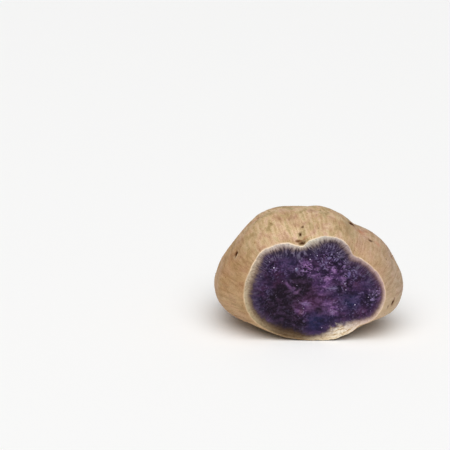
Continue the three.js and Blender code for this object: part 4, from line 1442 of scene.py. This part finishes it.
def point_mesh(name, places, directions, sizes):
    """A mesh of loose points in metres, which carry a direction and a size."""
    mesh = bpy.data.meshes.new(name)
    mesh.from_pydata([list(p) for p in places], [], [])
    towards_attribute = mesh.attributes.new("direction", "FLOAT_VECTOR", "POINT")
    towards_attribute.data.foreach_set("vector", np.asarray(directions, dtype=np.float32).ravel())
    size_attribute = mesh.attributes.new("size", "FLOAT", "POINT")
    size_attribute.data.foreach_set("value", np.asarray(sizes, dtype=np.float32))
    return mesh


# %% The tree that scatters domes on a surface
DOME_SEGMENTS, DOME_RINGS = 8, 5

dome_tree, given = new_shape_tree(
    "scattered_domes", Chance="String", Spacing="Float", Density="Float", Smallest="Float",
    Largest="Float", Height="Float", Seed="Int", Marked="Object", Finish="Material")
chance = add_node(dome_tree, "GeometryNodeInputNamedAttribute", {"Name": given["Chance"]}).outputs[0]
scattered = add_node(dome_tree, "GeometryNodeDistributePointsOnFaces", {
    0: given["Ground"], "Distance Min": given["Spacing"], "Density Max": given["Density"],
    "Density Factor": chance, "Seed": given["Seed"]}, distribute_method="POISSON").outputs[0]
marked = add_node(dome_tree, "GeometryNodeObjectInfo", {0: given["Marked"]}).outputs["Geometry"]
marked_points = add_node(dome_tree, "GeometryNodeMeshToPoints", {0: marked}).outputs[0]
dome_places = add_node(dome_tree, "GeometryNodeJoinGeometry")
for source in (scattered, marked_points):
    dome_tree.links.new(source, dome_places.inputs[0])
surface_normal = add_node(dome_tree, "GeometryNodeInputNormal").outputs[0]
normal_there = add_node(dome_tree, "GeometryNodeSampleNearestSurface", {
    0: given["Ground"], 1: surface_normal}, data_type="FLOAT_VECTOR").outputs[0]
upright = add_node(dome_tree, "FunctionNodeAlignRotationToVector", {"Vector": normal_there},
                   axis="Z").outputs[0]
drawn_width = add_node(dome_tree, "FunctionNodeRandomValue", {
    2: given["Smallest"], 3: given["Largest"], "Seed": given["Seed"]}, data_type="FLOAT").outputs[1]
marked_width = add_node(dome_tree, "GeometryNodeInputNamedAttribute", {"Name": "size"}).outputs[0]
width = add_node(dome_tree, "ShaderNodeMath", {0: drawn_width, 1: marked_width},
                 operation="MAXIMUM").outputs[0]
low_width = add_node(dome_tree, "ShaderNodeMath", {0: width, 1: given["Height"]},
                     operation="MULTIPLY").outputs[0]
dome_size = add_node(dome_tree, "ShaderNodeCombineXYZ", {0: width, 1: width, 2: low_width}).outputs[0]
dome = add_node(dome_tree, "GeometryNodeMeshUVSphere", {
    "Segments": DOME_SEGMENTS, "Rings": DOME_RINGS, "Radius": 0.5}).outputs[0]
domes = add_node(dome_tree, "GeometryNodeInstanceOnPoints", {
    0: dome_places.outputs[0], "Instance": dome, "Rotation": upright, "Scale": dome_size}).outputs[0]
finish_tree(dome_tree, domes, given["Finish"])
print("dome tree:", len(dome_tree.nodes), "nodes")

# %% The tree that plants tapered hairs
HAIR_SIDES, HAIR_RINGS = 5, 6
HAIR_TIP = 0.2  # a hair's width at its tip, as a share of that at its root

hair_tree, given = new_shape_tree(
    "planted_hairs", Thickness="Float", Bend="Float", Seed="Int", Finish="Material")
direction = add_node(hair_tree, "GeometryNodeInputNamedAttribute", {"Name": "direction"},
                     data_type="FLOAT_VECTOR").outputs[0]
length = add_node(hair_tree, "GeometryNodeInputNamedAttribute", {"Name": "size"}).outputs[0]
along_it = add_node(hair_tree, "FunctionNodeAlignRotationToVector", {"Vector": direction},
                    axis="Z").outputs[0]
spin = add_node(hair_tree, "FunctionNodeRandomValue", {
    2: 0.0, 3: 2 * np.pi, "Seed": given["Seed"]}, data_type="FLOAT").outputs[1]
spin_vector = add_node(hair_tree, "ShaderNodeCombineXYZ", {2: spin}).outputs[0]
turned = add_node(hair_tree, "FunctionNodeRotateRotation", {0: along_it, 1: spin_vector},
                  rotation_space="LOCAL").outputs[0]
straight = add_node(hair_tree, "GeometryNodeMeshCone", {
    "Vertices": HAIR_SIDES, "Side Segments": HAIR_RINGS, "Radius Top": HAIR_TIP / 2,
    "Radius Bottom": 0.5, "Depth": 1.0}).outputs[0]
hair_place = add_node(hair_tree, "GeometryNodeInputPosition").outputs[0]
where = add_node(hair_tree, "ShaderNodeSeparateXYZ", {0: hair_place})
up_squared = add_node(hair_tree, "ShaderNodeMath", {0: where.outputs[2], 1: where.outputs[2]},
                      operation="MULTIPLY").outputs[0]
sideways = add_node(hair_tree, "ShaderNodeMath", {0: up_squared, 1: given["Bend"]},
                    operation="MULTIPLY").outputs[0]
bend_offset = add_node(hair_tree, "ShaderNodeCombineXYZ", {0: sideways}).outputs[0]
bent_hair = add_node(hair_tree, "GeometryNodeSetPosition", {0: straight, "Offset": bend_offset}).outputs[0]
hair_points = add_node(hair_tree, "GeometryNodeMeshToPoints", {0: given["Ground"]}).outputs[0]
hair_size = add_node(hair_tree, "ShaderNodeCombineXYZ", {
    0: given["Thickness"], 1: given["Thickness"], 2: length}).outputs[0]
hairs = add_node(hair_tree, "GeometryNodeInstanceOnPoints", {
    0: hair_points, "Instance": bent_hair, "Rotation": turned, "Scale": hair_size}).outputs[0]
finish_tree(hair_tree, hairs, given["Finish"])
print("hair tree:", len(hair_tree.nodes), "nodes")

# %% Beads of milky sap on the cut
# Sap is smooth and wet, so each bead carries a small highlight.
LARGE_BEADS = [  # x, z and width in mm: the larger beads, which catch the light
    (-20.2, 40.8, 1.0), (-8.6, 40.3, 0.7), (17.4, 32.0, 0.7), (18.0, 28.6, 0.6), (34.9, 28.6, 0.8),
    (23.0, 20.3, 0.8), (-22.5, 44.0, 0.5), (2.5, 47.5, 0.6), (13.0, 49.0, 0.5), (-1.2, 45.4, 0.8),
    (9.0, 43.5, 0.5), (30.0, 24.5, 0.5), (5.6, 7.4, 0.5), (-8.0, 31.0, 0.4),
]

sap_finish, tree = new_material("milky_sap")
shader = add_node(tree, "ShaderNodeBsdfPrincipled", {
    "Base Color": linear("#b9acca"), "Roughness": 0.35, "Specular IOR Level": 0.3})
add_node(tree, "ShaderNodeOutputMaterial", {"Surface": shader.outputs[0]})
bead_spots = point_mesh(
    "large_beads", [(x * MM, cad_low.y + SINK * MM, z * MM) for x, z, _ in LARGE_BEADS],
    [(0, -1, 0)] * len(LARGE_BEADS), [width * MM for _, _, width in LARGE_BEADS])
bead_marks = bpy.data.objects.new("large_beads", bead_spots)
bpy.context.collection.objects.link(bead_marks)
beads = grow("sap_beads", yam_mesh, dome_tree, Chance="bead_chance", Spacing=0.8 * MM, Density=6e4,
             Smallest=0.18 * MM, Largest=0.42 * MM, Height=0.4, Seed=3, Marked=bead_marks,
             Finish=sap_finish)
bpy.data.objects.remove(bead_marks)

# %% Lenticels on the skin
# Raised cork is dull and brown, and a little paler on some than on others.
CORK_PATCH = 4.0  # mm, how far apart the paler ones are

cork_finish, tree = new_material("raised_cork")
place = add_node(tree, "ShaderNodeTexCoord").outputs["Object"]
cork_tone = add_node(tree, "ShaderNodeTexNoise", {
    "Vector": place, "Scale": 1 / (CORK_PATCH * MM), "Detail": 1.0}).outputs[0]
cork_colour = add_node(tree, "ShaderNodeValToRGB", {"Fac": cork_tone}, stops=[
    (0.40, "#8a6238"), (0.60, "#b18c60")]).outputs[0]
shader = add_node(tree, "ShaderNodeBsdfPrincipled", {
    "Base Color": cork_colour, "Roughness": 0.8, "Specular IOR Level": 0.2})
add_node(tree, "ShaderNodeOutputMaterial", {"Surface": shader.outputs[0]})
lenticels = grow("lenticels", yam_mesh, dome_tree, Chance="lenticel_chance", Spacing=2.6 * MM,
                 Density=3e4, Smallest=0.25 * MM, Largest=0.75 * MM, Height=0.35, Seed=11,
                 Finish=cork_finish)

# %% Rootlets in some eyes
# A dry rootlet is a thin brown thread with hardly any shine. Up to three are in an eye.
ROOTLET_MOST = 3
ROOTLET_LENGTHS = (1.2, 3.2)  # mm
ROOTLET_LEAN = 1.1  # how much each leans toward the nub; 1 is as much as it stands out
ROOTLET_STRAY = 0.5  # the same to any side; and how far it is from the eye's middle, in mm
ROOTLET_SPREAD = np.array([1, 0.4, 0])  # the eye lies across the body, and so do its roots
ROOTLET_LOWEST = 14.0  # mm above the table

rootlet_finish, tree = new_material("dry_rootlet")
shader = add_node(tree, "ShaderNodeBsdfPrincipled", {
    "Base Color": linear("#7a5636"), "Roughness": 0.85, "Specular IOR Level": 0.2})
add_node(tree, "ShaderNodeOutputMaterial", {"Surface": shader.outputs[0]})

root_places, root_directions, root_sizes = [], [], []
for direction, place_behind, *_ in scars[len(SINGLE_SCARS):]:
    ring, spoke_there = ring_at(place_behind), spoke_at(direction)
    if skin[ring, spoke_there, 2] < ROOTLET_LOWEST:
        continue
    for _ in range(draw.integers(0, ROOTLET_MOST + 1)):
        lean = draw.uniform(-ROOTLET_STRAY, ROOTLET_STRAY, 3) + [0, ROOTLET_LEAN, 0]
        beside = draw.uniform(-ROOTLET_STRAY, ROOTLET_STRAY, 3) * ROOTLET_SPREAD
        root_places.append((skin[ring, spoke_there] + beside) * MM)
        root_directions.append(normals[ring, spoke_there] + lean)
        root_sizes.append(draw.uniform(*ROOTLET_LENGTHS) * MM)
rootlet_spots = point_mesh("rootlet_places", root_places, root_directions, root_sizes)
rootlets = grow("rootlets", rootlet_spots, hair_tree, Thickness=0.32 * MM, Bend=1.4, Seed=5,
                Finish=rootlet_finish)
print("rootlets:", len(root_places))

# %% The brush of fibres at the nub
NUB_FIBRES = 54
NUB_FIBRE_SHARES = (0.45, 0.82)  # where they stand between the nub's middle and its rim
NUB_FIBRE_LENGTHS = (0.4, 0.8)  # mm
NUB_FIBRE_LEAN = 0.35  # how much they lean to any side; 1 is as much as they stand out

fibre_turns = draw.uniform(0, 1, NUB_FIBRES)
fibre_shares = draw.uniform(*NUB_FIBRE_SHARES, NUB_FIBRES)
fibre_rings = np.abs(nub_shares[:, None] - fibre_shares).argmin(0)
fibre_places = nub_end[fibre_rings, (fibre_turns * SPOKES).astype(int)] * MM
fibre_directions = [0, 1, 0] + NUB_FIBRE_LEAN * draw.uniform(-1, 1, (NUB_FIBRES, 3))
fibre_sizes = draw.uniform(*NUB_FIBRE_LENGTHS, NUB_FIBRES) * MM
nub_fibres = grow("nub_fibres", point_mesh("fibre_places", fibre_places, fibre_directions, fibre_sizes),
                  hair_tree, Thickness=0.22 * MM, Bend=0.8, Seed=9, Finish=nub_finish)
print("fibres at the nub:", NUB_FIBRES)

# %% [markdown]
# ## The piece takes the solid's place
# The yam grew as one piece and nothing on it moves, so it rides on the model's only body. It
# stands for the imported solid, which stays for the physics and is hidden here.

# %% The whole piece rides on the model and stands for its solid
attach(yam, "root")
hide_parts("cut_yam")
print("yam:", [round(side / MM, 1) for side in yam.dimensions], "mm")

# %% The sizes before and after
low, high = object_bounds()
print("visual box in mm:", [round(v / MM, 1) for v in (*low, *high)])
